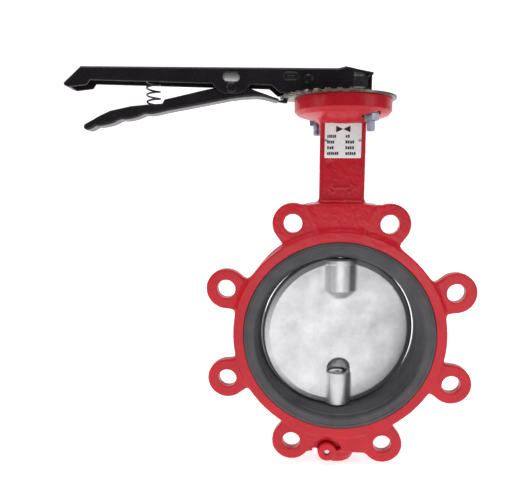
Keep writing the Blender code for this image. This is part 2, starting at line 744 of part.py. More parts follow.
def flange_screws():
    head_z = PLATE_TOP_Z - CLEAR
    head_h = SCREW_HEAD_R - SCREW_R
    seat = TOP_Z - SCREW_SEAT_T - CLEAR
    for k, (x, y) in enumerate(screw_centres(), 1):
        profile = [(0, head_z), (SCREW_HEAD_R - CLEAR, head_z),
                   (SCREW_R, head_z - head_h), (SCREW_R, SCREW_END_Z + 0.7 * MM),
                   (SCREW_R - 0.7 * MM, SCREW_END_Z), (0, SCREW_END_Z)]
        screw = turned(f"flange_screw_{k}", profile, None, ZINC, 16)
        screw.location = (x, y, 0)
        cut(screw, prism(f"screw_socket_{k}", [shifted(hexagon(5 * MM), (x, y))],
                         head_z - 3 * MM, head_z + MM))
        washer = ring(f"flange_washer_{k}", SCREW_R + CLEAR, SPRING_WASHER_R,
                      seat - SPRING_WASHER_T, seat, None, ZINC, 16)
        washer.location = (x, y, 0)
        nut_top = seat - SPRING_WASHER_T - CLEAR
        outline = shifted(hexagon(NUT_AF, math.radians(15 * k)), (x, y))
        hole = circle((x, y), SCREW_R + CLEAR, 16)
        prism(f"flange_nut_{k}", [outline, hole], nut_top - NUT_T, nut_top, finish=ZINC)


def nameplate():
    front = -NECK_D / 2 - CLEAR
    plate = box("nameplate", (-NAMEPLATE_W / 2, front - NAMEPLATE_T,
                              NAMEPLATE_Z - NAMEPLATE_H / 2),
                (NAMEPLATE_W / 2, front, NAMEPLATE_Z + NAMEPLATE_H / 2), None, WHITE_PLATE)
    for k, sign in enumerate((-1, 1), 1):
        centre = (sign * NAMEPLATE_RIVET_X, NAMEPLATE_Z)
        cut(plate, cylinder(f"nameplate_hole_{k}", 0.9 * MM, front - 2 * MM, front + MM,
                            centre, 'Y', segments=10))
        head = front - NAMEPLATE_T - CLEAR
        rivet = cylinder(f"nameplate_rivet_{k}", 0.6 * MM, head - 0.3 * MM,
                         front + 3.5 * MM, centre, 'Y', None, ZINC, 10)
        join(rivet, cylinder(f"rivet_head_{k}", 1.1 * MM, head - 0.7 * MM, head, centre, 'Y',
                             segments=12, radius_high=1.4 * MM))


# ---------------------------------------------------------------- handle

def handle_top_z(x):
    """Height of the handle's upper face, which droops slightly towards the grip."""
    return HANDLE_TOP_Z + HANDLE_DROOP * x / HANDLE_LENGTH


def handle_outline():
    """Side view of the handle with its cheeks, in local X and Z."""
    tip = -HANDLE_LENGTH
    grip_top = tip + HANDLE_SLANT
    nose_end = tip + HANDLE_NOSE_L
    head = -HEAD_LENGTH
    crest = HANDLE_TOP_Z + HEAD_CREST
    ear_z = PIVOT_Z - PIVOT_EAR_R
    shoulder = (EAR_HALF_ROOT + EAR_HALF_FOOT) / 2
    return [(grip_top, handle_top_z(grip_top)), (-8 * MM, handle_top_z(-8 * MM)),
            (-1 * MM, crest), (HANDLE_CHEEK_END, crest - 1.3 * MM),
            (HANDLE_CHEEK_END, HEAD_EDGE_Z), (head, HEAD_EDGE_Z),
            (head - HEAD_SLANT, HANDLE_EDGE_Z - 0.3 * MM), (PIVOT_X + EAR_HALF_ROOT, HANDLE_EDGE_Z),
            (PIVOT_X + shoulder, ear_z + 2.4 * MM), (PIVOT_X + EAR_HALF_FOOT, ear_z + 0.4 * MM),
            (PIVOT_X, ear_z), (PIVOT_X - EAR_HALF_FOOT, ear_z + 0.4 * MM),
            (PIVOT_X - shoulder, ear_z + 2.4 * MM), (PIVOT_X - EAR_HALF_ROOT, HANDLE_EDGE_Z),
            (nose_end + 2 * MM, HANDLE_EDGE_Z + 0.6 * MM),
            (nose_end - MM, HANDLE_NOSE_Z + HANDLE_NOSE_RISE), (tip + 5 * MM, HANDLE_NOSE_Z),
            (tip + 1 * MM, HANDLE_NOSE_Z + 1.4 * MM), (tip, HANDLE_NOSE_Z + 4 * MM)]


def handle_hollow_outline():
    """Inside of the channel, open underneath and at the head."""
    tip = -HANDLE_LENGTH
    t = HANDLE_SHEET
    low = HANDLE_NOSE_Z - 20 * MM
    grip = tip + HANDLE_SLANT + t * 0.6
    head = HANDLE_CHEEK_END + 20 * MM
    return [(grip, handle_top_z(grip) - t), (head, handle_top_z(head) - t), (head, low),
            (tip + HANDLE_TIP_WALL, low), (tip + HANDLE_TIP_WALL, HANDLE_NOSE_Z + 5 * MM)]


def handle(stem_axis):
    half = HANDLE_W / 2
    piece = prism("handle", [handle_outline()], -half, half, 'Y', stem_axis, BLACK_ENAMEL)
    hollow = prism("handle_hollow", [handle_hollow_outline()], -CHEEK_IN, CHEEK_IN, 'Y',
                   stem_axis)
    cut(piece, hollow)
    t = HANDLE_SHEET
    start = HANDLE_CHEEK_END - 8 * MM
    root_z = HANDLE_TOP_Z + HEAD_CREST - 0.3 * MM
    tip_z = root_z - TONGUE_DROP
    tongue_outline = [(start, root_z), (TONGUE_END, tip_z),
                      (TONGUE_END - 0.6 * MM, tip_z - t), (TAB_X + 1.8 * MM, tip_z - t),
                      (TAB_X + 1.8 * MM, HEAD_EDGE_Z + 0.8 * MM),
                      (TAB_X + 0.1 * MM, HEAD_EDGE_Z + 0.8 * MM),
                      (TAB_X + 0.1 * MM, tip_z - t + 0.6 * MM), (start, HANDLE_TOP_Z - t + 0.4 * MM)]
    tongue = prism("handle_tongue", [tongue_outline], -half + 0.4 * MM, half - 0.4 * MM,
                   'Y', stem_axis)
    join(piece, tongue)
    end = (SLOT_L - SLOT_H) / 2
    slot_outline = (arc((PIVOT_X + end, SLOT_Z), SLOT_H / 2, -math.pi / 2, math.pi / 2, 9)
                    + arc((PIVOT_X - end, SLOT_Z), SLOT_H / 2, math.pi / 2, 1.5 * math.pi, 9))
    slot = prism("handle_slot", [slot_outline], -half - MM, half + MM, 'Y', stem_axis)
    pin = cylinder("handle_pin_hole", PIVOT_R + CLEAR, -half - MM, half + MM,
                   (PIVOT_X, PIVOT_Z), 'Y', stem_axis, segments=20)
    rivet = cylinder("handle_rivet_hole", PIVOT_R + CLEAR, -half - MM, half + MM,
                     (HEAD_RIVET_X, clamp_centre_z()), 'Y', stem_axis, segments=20)
    cut(piece, slot, pin, rivet)


def clamp_centre_z():
    return CLAMP_BOTTOM_Z + CLAMP_T / 2


def handle_clamp(stem_axis):
    """Split steel bar: square hole on the stem, pinch screw, rivet into the handle."""
    clamp = box("stem_clamp", (CLAMP_GRIP_X, -CLAMP_HALF, CLAMP_BOTTOM_Z),
                (CLAMP_TAIL_X, CLAMP_HALF, CLAMP_TOP_Z), stem_axis, ZINC)
    hole = prism("clamp_square", [square(SQUARE_AF / 2 + CLEAR)], CLAMP_BOTTOM_Z - MM,
                 CLAMP_TOP_Z + MM, parent=stem_axis)
    slit = box("clamp_slit", (SQUARE_AF / 2, -CLAMP_SLIT / 2, CLAMP_BOTTOM_Z - MM),
               (CLAMP_TAIL_X + MM, CLAMP_SLIT / 2, CLAMP_TOP_Z + MM), stem_axis)
    screw_end = -CLAMP_HALF + CLAMP_SCREW_WALL
    screw_hole = cylinder("clamp_screw_hole", CLAMP_SCREW_R + CLEAR, screw_end,
                          CLAMP_HALF + MM, (CLAMP_SCREW_X, clamp_centre_z()), 'Y',
                          stem_axis, segments=20)
    rivet_hole = cylinder("clamp_rivet_hole", PIVOT_R + CLEAR, -CLAMP_HALF - MM,
                          CLAMP_HALF + MM, (HEAD_RIVET_X, clamp_centre_z()), 'Y',
                          stem_axis, segments=20)
    cut(clamp, hole, slit, screw_hole, rivet_hole)
    head = CLAMP_HALF + CLEAR
    screw = cylinder("clamp_screw", CLAMP_SCREW_R, screw_end + 2 * CLEAR, head + MM,
                     (CLAMP_SCREW_X, clamp_centre_z()), 'Y', stem_axis, BARE_STEEL, 20)
    outline = shifted(hexagon(10 * MM), (CLAMP_SCREW_X, clamp_centre_z()))
    join(screw, prism("clamp_screw_head", [outline], head, head + 4 * MM, 'Y', stem_axis))
    cross_rivet("head_rivet", HEAD_RIVET_X, clamp_centre_z(), 4.6 * MM, 1.4 * MM, stem_axis)


def cross_rivet(name, x, z, head_r, head_t, stem_axis):
    """Rivet through both cheeks, with a flat round head on each side."""
    side = HANDLE_W / 2 + CLEAR
    rivet = cylinder(name, PIVOT_R, -side - head_t / 2, side + head_t / 2, (x, z), 'Y',
                     stem_axis, BLACK_ENAMEL, 20)
    for sign in (-1, 1):
        low, high = sorted((sign * side, sign * (side + head_t)))
        join(rivet, cylinder(f"{name}_head_{sign}", head_r, low, high, (x, z), 'Y',
                             stem_axis, segments=20))


def pivot(stem_axis):
    """Headed pin that the trigger turns on, held by a push-on clip at the back."""
    side = HANDLE_W / 2 + CLEAR
    profile = [(0, side + 4 * MM), (PIVOT_R, side + 4 * MM), (PIVOT_R, side + 1.7 * MM),
               (PIVOT_R - 0.7 * MM, side + 1.7 * MM), (PIVOT_R - 0.7 * MM, side + 0.1 * MM),
               (PIVOT_R, side + 0.1 * MM), (PIVOT_R, -side), (4.8 * MM, -side),
               (4.8 * MM, -side - 1 * MM), (3.6 * MM, -side - 1.8 * MM),
               (0, -side - 1.8 * MM)]
    pin = turned("pivot_pin", profile, stem_axis, BARE_STEEL, 20, along_y=True)
    pin.location = (PIVOT_X, 0, PIVOT_Z)
    clip = turned("pivot_clip", [(6 * MM, side + 1.5 * MM), (6 * MM, side + 0.3 * MM),
                                 (PIVOT_R - 0.4 * MM, side + 0.3 * MM),
                                 (PIVOT_R - 0.4 * MM, side + 1.5 * MM)],
                  stem_axis, BARE_STEEL, 20, along_y=True)
    clip.location = (PIVOT_X, 0, PIVOT_Z)


def trigger_stop(stem_axis):
    """Zinc block between the cheeks above the pivot, behind the padlock slot."""
    top = handle_top_z(PIVOT_X) - HANDLE_SHEET - 2 * CLEAR
    box("trigger_stop", (PIVOT_X - 11.5 * MM, -CLAMP_HALF, PIVOT_Z + PIVOT_EAR_R + CLEAR),
        (PIVOT_X + 11.5 * MM, CLAMP_HALF, top), stem_axis, ZINC)


# ---------------------------------------------------------------- trigger and spring

def trigger_floor_z(x):
    """Height of the trigger's underside: a shallow S, with lobes for the fingers."""
    points = [(TRIGGER_TIP_X, 197.2 * MM), (-236.5 * MM, 195.2 * MM), (-233.5 * MM, 195 * MM),
              (-226 * MM, 197.2 * MM), (-219.5 * MM, 199.4 * MM), (-212 * MM, 201.4 * MM),
              (-196 * MM, 205.6 * MM), (-175 * MM, 210.3 * MM), (-164 * MM, 213 * MM),
              (-131 * MM, 219.7 * MM), (-107 * MM, 224.7 * MM), (-95 * MM, 226.5 * MM),
              (-83 * MM, 227.4 * MM), (-77 * MM, 227.1 * MM), (-70 * MM, 225.6 * MM),
              (-64 * MM, 223.9 * MM), (TOOTH_X, 222.6 * MM)]
    lobe = (x - LOBE_START) / LOBE_PITCH
    notch = 0.0
    if -0.5 < lobe < 2.5:
        notch = LOBE_RISE * (1 - abs(math.sin(math.pi * lobe)) ** 0.7)
    for (x0, z0), (x1, z1) in zip(points, points[1:]):
        if x <= x1:
            return z0 + (z1 - z0) * (x - x0) / (x1 - x0) + notch
    return points[-1][1]


def trigger_floor_points(start, end, lift=0.0):
    """Points along the underside, one of them in every notch between two lobes."""
    step = LOBE_PITCH / LOBE_STEPS
    first = math.floor((start - LOBE_START) / step) + 1
    last = math.ceil((end - LOBE_START) / step) - 1
    stations = [start] + [LOBE_START + step * k for k in range(first, last + 1)] + [end]
    return [(x, trigger_floor_z(x) + lift) for x in stations]


def trigger_outline():
    """Side view of the trigger's cheeks and floor, without its tooth."""
    ear = arc((PIVOT_X, PIVOT_Z), PIVOT_EAR_R, math.radians(150), math.radians(40), 8)
    under = trigger_floor_points(TRIGGER_TIP_X, TRIGGER_NOSE_X)
    under.reverse()
    top = [(TRIGGER_TIP_X + 0.8 * MM, 200.2 * MM), (-230.4 * MM, 204.3 * MM),
           (-223.3 * MM, 208.4 * MM), (-214.4 * MM, 212.6 * MM), (-196.7 * MM, 216.8 * MM),
           (-180 * MM, 218.8 * MM), (TRIGGER_STEP_X - MM, 219.6 * MM),
           (TRIGGER_STEP_X + MM, 223.2 * MM), (-128 * MM, 232.8 * MM)]
    nose = [(-92 * MM, 236 * MM), (-84 * MM, 232.8 * MM), (-76 * MM, 230.3 * MM),
            (-68 * MM, 227.6 * MM), (TRIGGER_NOSE_X, 226 * MM)]
    return top + ear + nose + under


def trigger(stem_axis, latch_axis):
    """Channel with a closed floor, finger lobes and a tooth at the head end."""
    pivot_point = Vector((PIVOT_X, 0, PIVOT_Z))
    half = TRIGGER_HALF
    piece = prism("trigger", [trigger_outline()], -half, half, 'Y', stem_axis, BLACK_ENAMEL)
    inside = half - TRIGGER_SHEET
    start = TRIGGER_TIP_X + 12 * MM
    floor = trigger_floor_points(start, TRIGGER_NOSE_X + 3 * MM, TRIGGER_SHEET)
    hollow_outline = floor + [(TRIGGER_NOSE_X + 3 * MM, HANDLE_TOP_Z), (start, HANDLE_TOP_Z)]
    hollow = prism("trigger_hollow", [hollow_outline], -inside, inside, 'Y', stem_axis)
    cut(piece, hollow)
    end = TRIGGER_NOSE_X - 4 * MM
    bend = TOOTH_X - TOOTH_L
    tooth_outline = [(end, trigger_floor_z(end) + 0.2 * MM), (bend, trigger_floor_z(bend)),
                     (TOOTH_X, trigger_floor_z(bend)), (TOOTH_X, TOOTH_TOP_Z),
                     (bend, TOOTH_TOP_Z), (bend, trigger_floor_z(bend) + 2 * MM),
                     (end, trigger_floor_z(end) + 1.7 * MM)]
    tooth = prism("trigger_tooth", [tooth_outline], -TOOTH_W / 2, TOOTH_W / 2, 'Y', stem_axis)
    join(piece, tooth)
    pin = cylinder("trigger_pin_hole", PIVOT_R + CLEAR, -half - MM, half + MM,
                   (PIVOT_X, PIVOT_Z), 'Y', stem_axis, segments=20)
    cut(piece, pin)
    for item in [piece] + [step.object for step in piece.modifiers]:
        item.data.transform(Matrix.Translation(-pivot_point))
        item.parent = latch_axis


def spring_parts(stem_axis, latch_axis):
    """Compression spring over a stud, pushing the trigger away from the handle."""
    ceiling = handle_top_z(SPRING_X) - HANDLE_SHEET - CLEAR
    top = ceiling - SPRING_WIRE_R - CLEAR
    curve = bpy.data.curves.new("latch_spring", 'CURVE')
    curve.dimensions = '3D'
    curve.bevel_depth = SPRING_WIRE_R
    curve.bevel_resolution = 2
    curve.use_fill_caps = True
    per_turn = 14
    count = SPRING_TURNS * per_turn + 1
    spline = curve.splines.new('POLY')
    spline.points.add(count - 1)
    for i, point in enumerate(spline.points):
        turn = 2 * math.pi * i / per_turn
        height = SPRING_BOTTOM_Z + (top - SPRING_BOTTOM_Z) * i / (count - 1)
        point.co = (SPRING_X + SPRING_R * math.cos(turn), SPRING_R * math.sin(turn),
                    height, 1)
    spring = bpy.data.objects.new("latch_spring", curve)
    PARTS.objects.link(spring)
    curve.materials.append(STAINLESS)
    spring.parent = stem_axis
    cylinder("spring_stud", 4.2 * MM, ceiling - STUD_L, ceiling, (SPRING_X, 0), 'Z',
             stem_axis, ZINC, 20, radius_high=4.6 * MM)
    seat = trigger_floor_z(SPRING_X + 4 * MM) + TRIGGER_SHEET + 0.9 * MM
    cup = cylinder("spring_seat", 4.4 * MM, seat, seat + 5 * MM, (SPRING_X, 0), 'Z',
                   stem_axis, ZINC, 20, radius_high=3.6 * MM)
    cup.data.transform(Matrix.Translation((-PIVOT_X, 0, -PIVOT_Z)))
    cup.parent = latch_axis


# ---------------------------------------------------------------- assembly

def axis_empty(name, location, turn, parent=None):
    item = bpy.data.objects.new(name, None)
    PARTS.objects.link(item)
    item.location = location
    item.rotation_euler = (0, 0, turn)
    item.parent = parent
    return item


def build():
    stem_axis = axis_empty("stem_axis", (0, 0, 0), OPEN_ANGLE)
    latch_axis = axis_empty("latch_axis", (PIVOT_X, 0, PIVOT_Z), 0, stem_axis)
    body_casting()
    seat_liner()
    bearings()
    bottom_fittings()
    lower_shaft()
    disc(stem_axis)
    upper_stem(stem_axis)
    notch_plate()
    flange_screws()
    nameplate()
    handle(stem_axis)
    handle_clamp(stem_axis)
    pivot(stem_axis)
    trigger_stop(stem_axis)
    trigger(stem_axis, latch_axis)
    spring_parts(stem_axis, latch_axis)


build()
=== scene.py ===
"""Looks of a lever-operated semi-lug butterfly valve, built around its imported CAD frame.

Large cast and pressed pieces are modelled as distance fields in millimetres: flat outlines
and turned profiles that blend into each other with real fillets.  Their surfaces are meshed
on a grid, settled onto the exact field and thinned.  Turned and small pieces are plain
meshes.  Everything that turns with the stem is modelled with the stem at zero and then
turned to the angle it has in the frame.
"""

import json
import math

import bmesh
import bpy
import numpy as np
import openvdb
from mathutils import Matrix, Vector


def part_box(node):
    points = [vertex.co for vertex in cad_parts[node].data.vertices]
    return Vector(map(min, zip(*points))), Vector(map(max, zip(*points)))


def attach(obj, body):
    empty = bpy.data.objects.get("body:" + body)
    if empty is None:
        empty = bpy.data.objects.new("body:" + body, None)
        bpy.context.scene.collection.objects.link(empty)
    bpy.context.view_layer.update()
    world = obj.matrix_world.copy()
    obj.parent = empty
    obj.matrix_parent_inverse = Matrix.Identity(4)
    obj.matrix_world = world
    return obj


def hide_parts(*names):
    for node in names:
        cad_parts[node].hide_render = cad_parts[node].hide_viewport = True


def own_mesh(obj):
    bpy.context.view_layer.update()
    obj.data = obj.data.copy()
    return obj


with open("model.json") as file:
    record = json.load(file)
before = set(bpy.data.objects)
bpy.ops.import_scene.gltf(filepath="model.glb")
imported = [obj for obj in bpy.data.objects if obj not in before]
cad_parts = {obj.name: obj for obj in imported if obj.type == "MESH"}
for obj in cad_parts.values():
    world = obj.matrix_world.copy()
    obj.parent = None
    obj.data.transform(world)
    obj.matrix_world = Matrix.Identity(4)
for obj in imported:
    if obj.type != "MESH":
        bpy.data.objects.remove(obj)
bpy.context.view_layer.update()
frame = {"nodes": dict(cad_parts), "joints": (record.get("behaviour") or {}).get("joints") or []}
MM = 0.001


def extent(node):
    """Lowest and highest corner of a CAD node, in millimetres."""
    low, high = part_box(node)
    return [value / MM for value in low], [value / MM for value in high]


BODY_LOW, BODY_HIGH = extent("valve_body")
SEAT_HIGH = extent("seat_liner")[1]
JOINTS = {joint["name"]: joint for joint in frame["joints"]}
PIVOT = [value / MM for value in JOINTS["trigger_squeeze"]["pos_m"]]

# Stem angle and pivot
OPEN_ANGLE = math.atan2(-PIVOT[1], -PIVOT[0])
PIVOT_X = -math.hypot(PIVOT[0], PIVOT[1])
PIVOT_Z = PIVOT[2]
PIVOT_R = 3

# Body, seat and disc
TOP_Z = BODY_HIGH[2]
BOTTOM_Z = BODY_LOW[2]
SEAT_R = SEAT_HIGH[0]
SEAT_HALF = SEAT_HIGH[1]
BODY_HALF = SEAT_HALF - 0.7
DISC_R = extent("disc")[1][2]
GAP = 0.3
BORE_R = DISC_R + GAP
RING_R = 104
SEAT_CORE_R = 87
SEAT_FLANGE_T = 7.7
LUG_PITCH_R = 120
LUG_R = BODY_HIGH[0] - LUG_PITCH_R * math.cos(math.radians(22.5))
LUG_HOLE_R = 9
LUG_T = 10.5
LUG_FRONT = -BODY_HALF + 3.3

# Neck and flange
NECK_W = 43
NECK_D = 36
FLANGE_R = 46
RIM_Z = TOP_Z - 11
BELL_Z = TOP_Z - 21
SHOULDER_Z = 130
STEM_R = 9.5
STEM_BORE_R = 12.3
SCREW_PITCH_R = 35
SCREW_END_Z = 196
SCREW_R = 4
SPOT_FACE_Z = TOP_Z - 13
BUSH_SHOULDER_Z = 91.6
WAIST_R = 99.5
ARROW_Z = 145
PIN_X = -9.4
PIN_Z = -121

# Handle
HANDLE_LENGTH = 253
HANDLE_HALF = 13
HANDLE_SHEET = 2.2
HANDLE_TOP = 254.4
HANDLE_CREST = HANDLE_TOP + 1.4
HANDLE_DROOP = 4.7
HANDLE_EDGE = 237.4
HANDLE_NOSE = 231.6
CHEEK_END = 7.2
SLOT_Z = 243.4
PLATE_TOP = extent("notch_plate")[1][2]
HEAD_EDGE = PLATE_TOP + 1.3
CLAMP_LOW = extent("stem_clamp")[0][2]
CLAMP_HIGH = extent("stem_clamp")[1][2]
CLAMP_MIDDLE = (CLAMP_LOW + CLAMP_HIGH) / 2
CLAMP_FRONT = -44
CLAMP_TAIL = 22.2
PINCH_X = 15
SQUARE_HALF = 6.7
RIVET_X = -35.5
HANDLE_TIP = -HANDLE_LENGTH
NOSE_SLANT = 15.5
EAR_R = 5.2

# ---------------------------------------------------------------- distance fields


def span(a, b):
    return np.sqrt(a * a + b * b)


def join(a, b, blend=0.0):
    """Union of two fields, with a fillet about 0.6 times blend."""
    if blend == 0:
        return np.minimum(a, b)
    share = np.clip(0.5 + 0.5 * (b - a) / blend, 0, 1)
    return b + (a - b) * share - blend * share * (1 - share)


def meet(a, b, blend=0.0):
    return -join(-a, -b, blend)


def cut(a, b, blend=0.0):
    return -join(-a, b, blend)


def outline(a, b, points):
    """Signed distance to a closed flat outline, negative inside."""
    nearest = np.float32(1e9)
    sign = np.float32(1)
    last = points[-1]
    for point in points:
        edge = (last[0] - point[0], last[1] - point[1])
        wa = a - point[0]
        wb = b - point[1]
        along = np.clip((wa * edge[0] + wb * edge[1]) / (edge[0] ** 2 + edge[1] ** 2), 0, 1)
        nearest = np.minimum(nearest, (wa - edge[0] * along) ** 2 + (wb - edge[1] * along) ** 2)
        above = b >= point[1]
        below = b < last[1]
        left = edge[0] * wb > edge[1] * wa
        flip = (above & below & left) | (~above & ~below & ~left)
        sign = np.where(flip, -sign, sign)
        last = point
    return (sign * np.sqrt(nearest)).astype(np.float32)


def slab(flat, along, low, high, edge=0.0):
    """A flat field extruded between two stations, its end edges rounded."""
    a = flat + edge
    b = np.abs(along - (low + high) / 2) - (high - low) / 2 + edge
    return np.minimum(np.maximum(a, b), 0) + span(np.maximum(a, 0), np.maximum(b, 0)) - edge


def block(a, b, half_a, half_b, corner):
    """A flat rectangle with round corners."""
    qa = np.abs(a) - half_a + corner
    qb = np.abs(b) - half_b + corner
    return np.minimum(np.maximum(qa, qb), 0) + span(np.maximum(qa, 0), np.maximum(qb, 0)) - corner


def capsule(a, b, start, end, radius):
    """A flat stroke with round ends."""
    ea = end[0] - start[0]
    eb = end[1] - start[1]
    wa = a - start[0]
    wb = b - start[1]
    along = np.clip((wa * ea + wb * eb) / (ea ** 2 + eb ** 2), 0, 1)
    return span(wa - ea * along, wb - eb * along) - radius


def cast_skin(x, y, z):
    """Slow swells of a sand-cast surface, about a tenth of a millimetre high."""
    a = np.sin(0.61 * x + 0.23 * z + 1.3 * np.sin(0.19 * y + 0.31 * z))
    b = np.sin(0.47 * z - 0.37 * x + 0.29 * y + 1.1 * np.sin(0.23 * x))
    c = np.sin(1.13 * x + 0.71 * y + 0.97 * z + np.sin(0.53 * z - 0.41 * x))
    return 0.06 * a * b + 0.035 * c


# ---------------------------------------------------------------- mesh helpers

def linked(name, data):
    item = bpy.data.objects.new(name, data)
    bpy.context.scene.collection.objects.link(item)
    return item


def mesh_of(shape, name):
    mesh = bpy.data.meshes.new(name)
    shape.to_mesh(mesh)
    shape.free()
    return mesh


def evaluated(draft, name):
    """The mesh that an object and its modifiers make; the object itself is removed."""
    bpy.context.view_layer.update()
    graph = bpy.context.evaluated_depsgraph_get()
    mesh = bpy.data.meshes.new_from_object(draft.evaluated_get(graph), depsgraph=graph)
    bpy.data.objects.remove(draft)
    mesh.name = name
    return mesh


def shaded(mesh, steepest):
    """Smooth shading, with edges bent by more than so many degrees kept sharp."""
    mesh.shade_smooth()
    mesh.set_sharp_from_angle(angle=math.radians(steepest))
    return mesh


def skin(shape, rows):
    """Faces between neighbouring rings of points, and over the two end rings."""
    count = len(rows[0])
    for first, second in zip(rows, rows[1:]):
        for k in range(count):
            n = (k + 1) % count
            shape.faces.new([first[k], first[n], second[n], second[k]])
    shape.faces.new(list(reversed(rows[0])))
    shape.faces.new(rows[-1])


def new_piece(name, mesh, material, body, slot, *nodes):
    """Link a mesh, give it its finish and its body, and hide the CAD nodes it stands for."""
    piece = linked(name, mesh)
    mesh.materials.clear()
    mesh.materials.append(material)
    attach(piece, body)
    if nodes:
        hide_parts(*nodes)
    return piece


def slopes(points, field, step=0.04):
    x, y, z = points.T
    return np.stack([field(x + step, y, z) - field(x - step, y, z),
                     field(x, y + step, z) - field(x, y - step, z),
                     field(x, y, z + step) - field(x, y, z - step)], 1) / (2 * step)


def settle(points, field, reach):
    """Move points along the slope onto the field's zero."""
    slope = slopes(points, field)
    steep = np.maximum((slope ** 2).sum(1), 0.2)
    move = np.clip(field(*points.T) / steep, -reach, reach)
    return points - move[:, None] * slope


def quad_mesh(name, points, faces):
    mesh = bpy.data.meshes.new(name)
    corners = faces.shape[1]
    mesh.vertices.add(len(points))
    mesh.vertices.foreach_set("co", np.asarray(points, np.float32).ravel())
    mesh.loops.add(len(faces) * corners)
    mesh.loops.foreach_set("vertex_index", faces.ravel().astype(np.int32))
    mesh.polygons.add(len(faces))
    mesh.polygons.foreach_set("loop_start", np.arange(0, len(faces) * corners, corners, np.int32))
    mesh.update(calc_edges=True)
    mesh.validate()
    return mesh


def thinned(mesh, triangles):
    """Collapse a mesh to about so many triangles."""
    whole = len(mesh.polygons) * 2
    if whole <= triangles:
        return mesh
    draft = linked("draft", mesh)
    thin = draft.modifiers.new("thin", 'DECIMATE')
    thin.ratio = triangles / whole
    small = evaluated(draft, "thinned")
    bpy.data.meshes.remove(mesh)
    return small


def field_mesh(name, field, low, high, cell, triangles, turn=0.0):
    """Mesh a field's surface, smooth-shaded with the field's own normals."""
    axes = [np.arange(a - 3 * cell, b + 3 * cell, cell, dtype=np.float32)
            for a, b in zip(low, high)]
    values = field(*np.ix_(*axes))
    band = 3 * cell
    grid = openvdb.FloatGrid(background=band)
    grid.copyFromArray(np.ascontiguousarray(np.clip(values, -band, band), np.float32))
    points, faces = grid.convertToQuads(isovalue=0.0)
    points = points.astype(np.float64) * cell + np.array([axis[0] for axis in axes])
    for _ in range(2):
        points = settle(points, field, cell / 2)
    mesh = thinned(quad_mesh(name, points, faces), triangles)
    mesh.name = name
    flat = np.zeros(len(mesh.vertices) * 3, np.float32)
    mesh.vertices.foreach_get("co", flat)
    points = flat.reshape(-1, 3).astype(np.float64)
    normals = slopes(points, field, 0.12)
    normals /= np.maximum(np.linalg.norm(normals, axis=1), 1e-6)[:, None]
    spin = np.array(Matrix.Rotation(turn, 3, 'Z'))
    mesh.vertices.foreach_set("co", (points @ spin.T * MM).astype(np.float32).ravel())
    mesh.shade_smooth()
    mesh.normals_split_custom_set_from_vertices((normals @ spin.T).astype(np.float32))
    mesh.update()
    return mesh


def filleted(points, radii, steps=4):
    """Round the corners of an open or closed path of (radius, height) points."""
    path = []
    count = len(points)
    for i, (point, radius) in enumerate(zip(points, radii)):
        if radius == 0:
            path.append(point)
            continue
        here = Vector(point)
        back = Vector(points[i - 1]) - here
        ahead = Vector(points[(i + 1) % count]) - here
        corner = back.angle(ahead)
        reach = min(radius / math.tan(corner / 2), back.length * 0.48, ahead.length * 0.48)
        start = here + back.normalized() * reach
        end = here + ahead.normalized() * reach
        for k in range(steps + 1):
            t = k / steps
            path.append(tuple(start * (1 - t) ** 2 + here * 2 * t * (1 - t) + end * t ** 2))
    return path


def lathe(name, profile, steps=48, closed=False, turn=None):
    """Turn (radius, height) points in millimetres about Z, then place them with turn."""
    shape = bmesh.new()
    rings = []
    for radius, height in profile:
        if radius < 1e-6:
            rings.append([shape.verts.new((0, 0, height))])
            continue
        rings.append([shape.verts.new((radius * math.cos(a), radius * math.sin(a), height))
                      for a in [2 * math.pi * k / steps for k in range(steps)]])
    pairs = list(zip(rings, rings[1:]))
    if closed:
        pairs.append((rings[-1], rings[0]))
    for first, second in pairs:
        for k in range(steps):
            n = (k + 1) % steps
            a = first[k % len(first)]
            b = first[n % len(first)]
            c = second[n % len(second)]
            d = second[k % len(second)]
            corners = [a, b, c, d]
            unique = [v for i, v in enumerate(corners) if v not in corners[:i]]
            if len(unique) > 2:
                shape.faces.new(unique)
    bmesh.ops.recalc_face_normals(shape, faces=shape.faces)
    if turn is not None:
        shape.transform(turn)
    shape.transform(TO_METRES)
    return shaded(mesh_of(shape, name), 40)


def prism(name, points, low, high, holes=(), turn=None, bevel=0.0):
    """A flat outline in millimetres, with holes, extruded along Z and bevelled."""
    curve = bpy.data.curves.new(name, 'CURVE')
    curve.dimensions = '2D'
    curve.fill_mode = 'BOTH'
    curve.extrude = (high - low) / 2
    for loop in [points, *holes]:
        spline = curve.splines.new('POLY')
        spline.points.add(len(loop) - 1)
        for point, (a, b) in zip(spline.points, loop):
            point.co = (a, b, 0, 1)
        spline.use_cyclic_u = True
    draft = linked(name + "_draft", curve)
    weld = draft.modifiers.new("weld", 'WELD')
    weld.merge_threshold = 0.001
    if bevel:
        edge = draft.modifiers.new("edge", 'BEVEL')
        edge.width = bevel
        edge.segments = 3
        edge.limit_method = 'ANGLE'
        edge.angle_limit = math.radians(32)
        edge.use_clamp_overlap = True
    mesh = evaluated(draft, name)
    mesh.transform(Matrix.Translation((0, 0, (low + high) / 2)))
    if turn is not None:
        mesh.transform(turn)
    mesh.transform(TO_METRES)
    return shaded(mesh, 35)


def carved(mesh, *cutters):
    """Cut solid meshes out of a mesh."""
    draft = linked("carved", mesh)
    tools = []
    for cutter in cutters:
        tools.append(linked("cutter", cutter))
        step = draft.modifiers.new("cut", 'BOOLEAN')
        step.operation = 'DIFFERENCE'
        step.object = tools[-1]
    result = evaluated(draft, mesh.name)
    for tool in tools:
        bpy.data.objects.remove(tool)
    return shaded(result, 35)


def merged(name, meshes):
    """Several meshes as one, kept as separate shells."""
    shape = bmesh.new()
    for mesh in meshes:
        shape.from_mesh(mesh)
    return shaded(mesh_of(shape, name), 35)


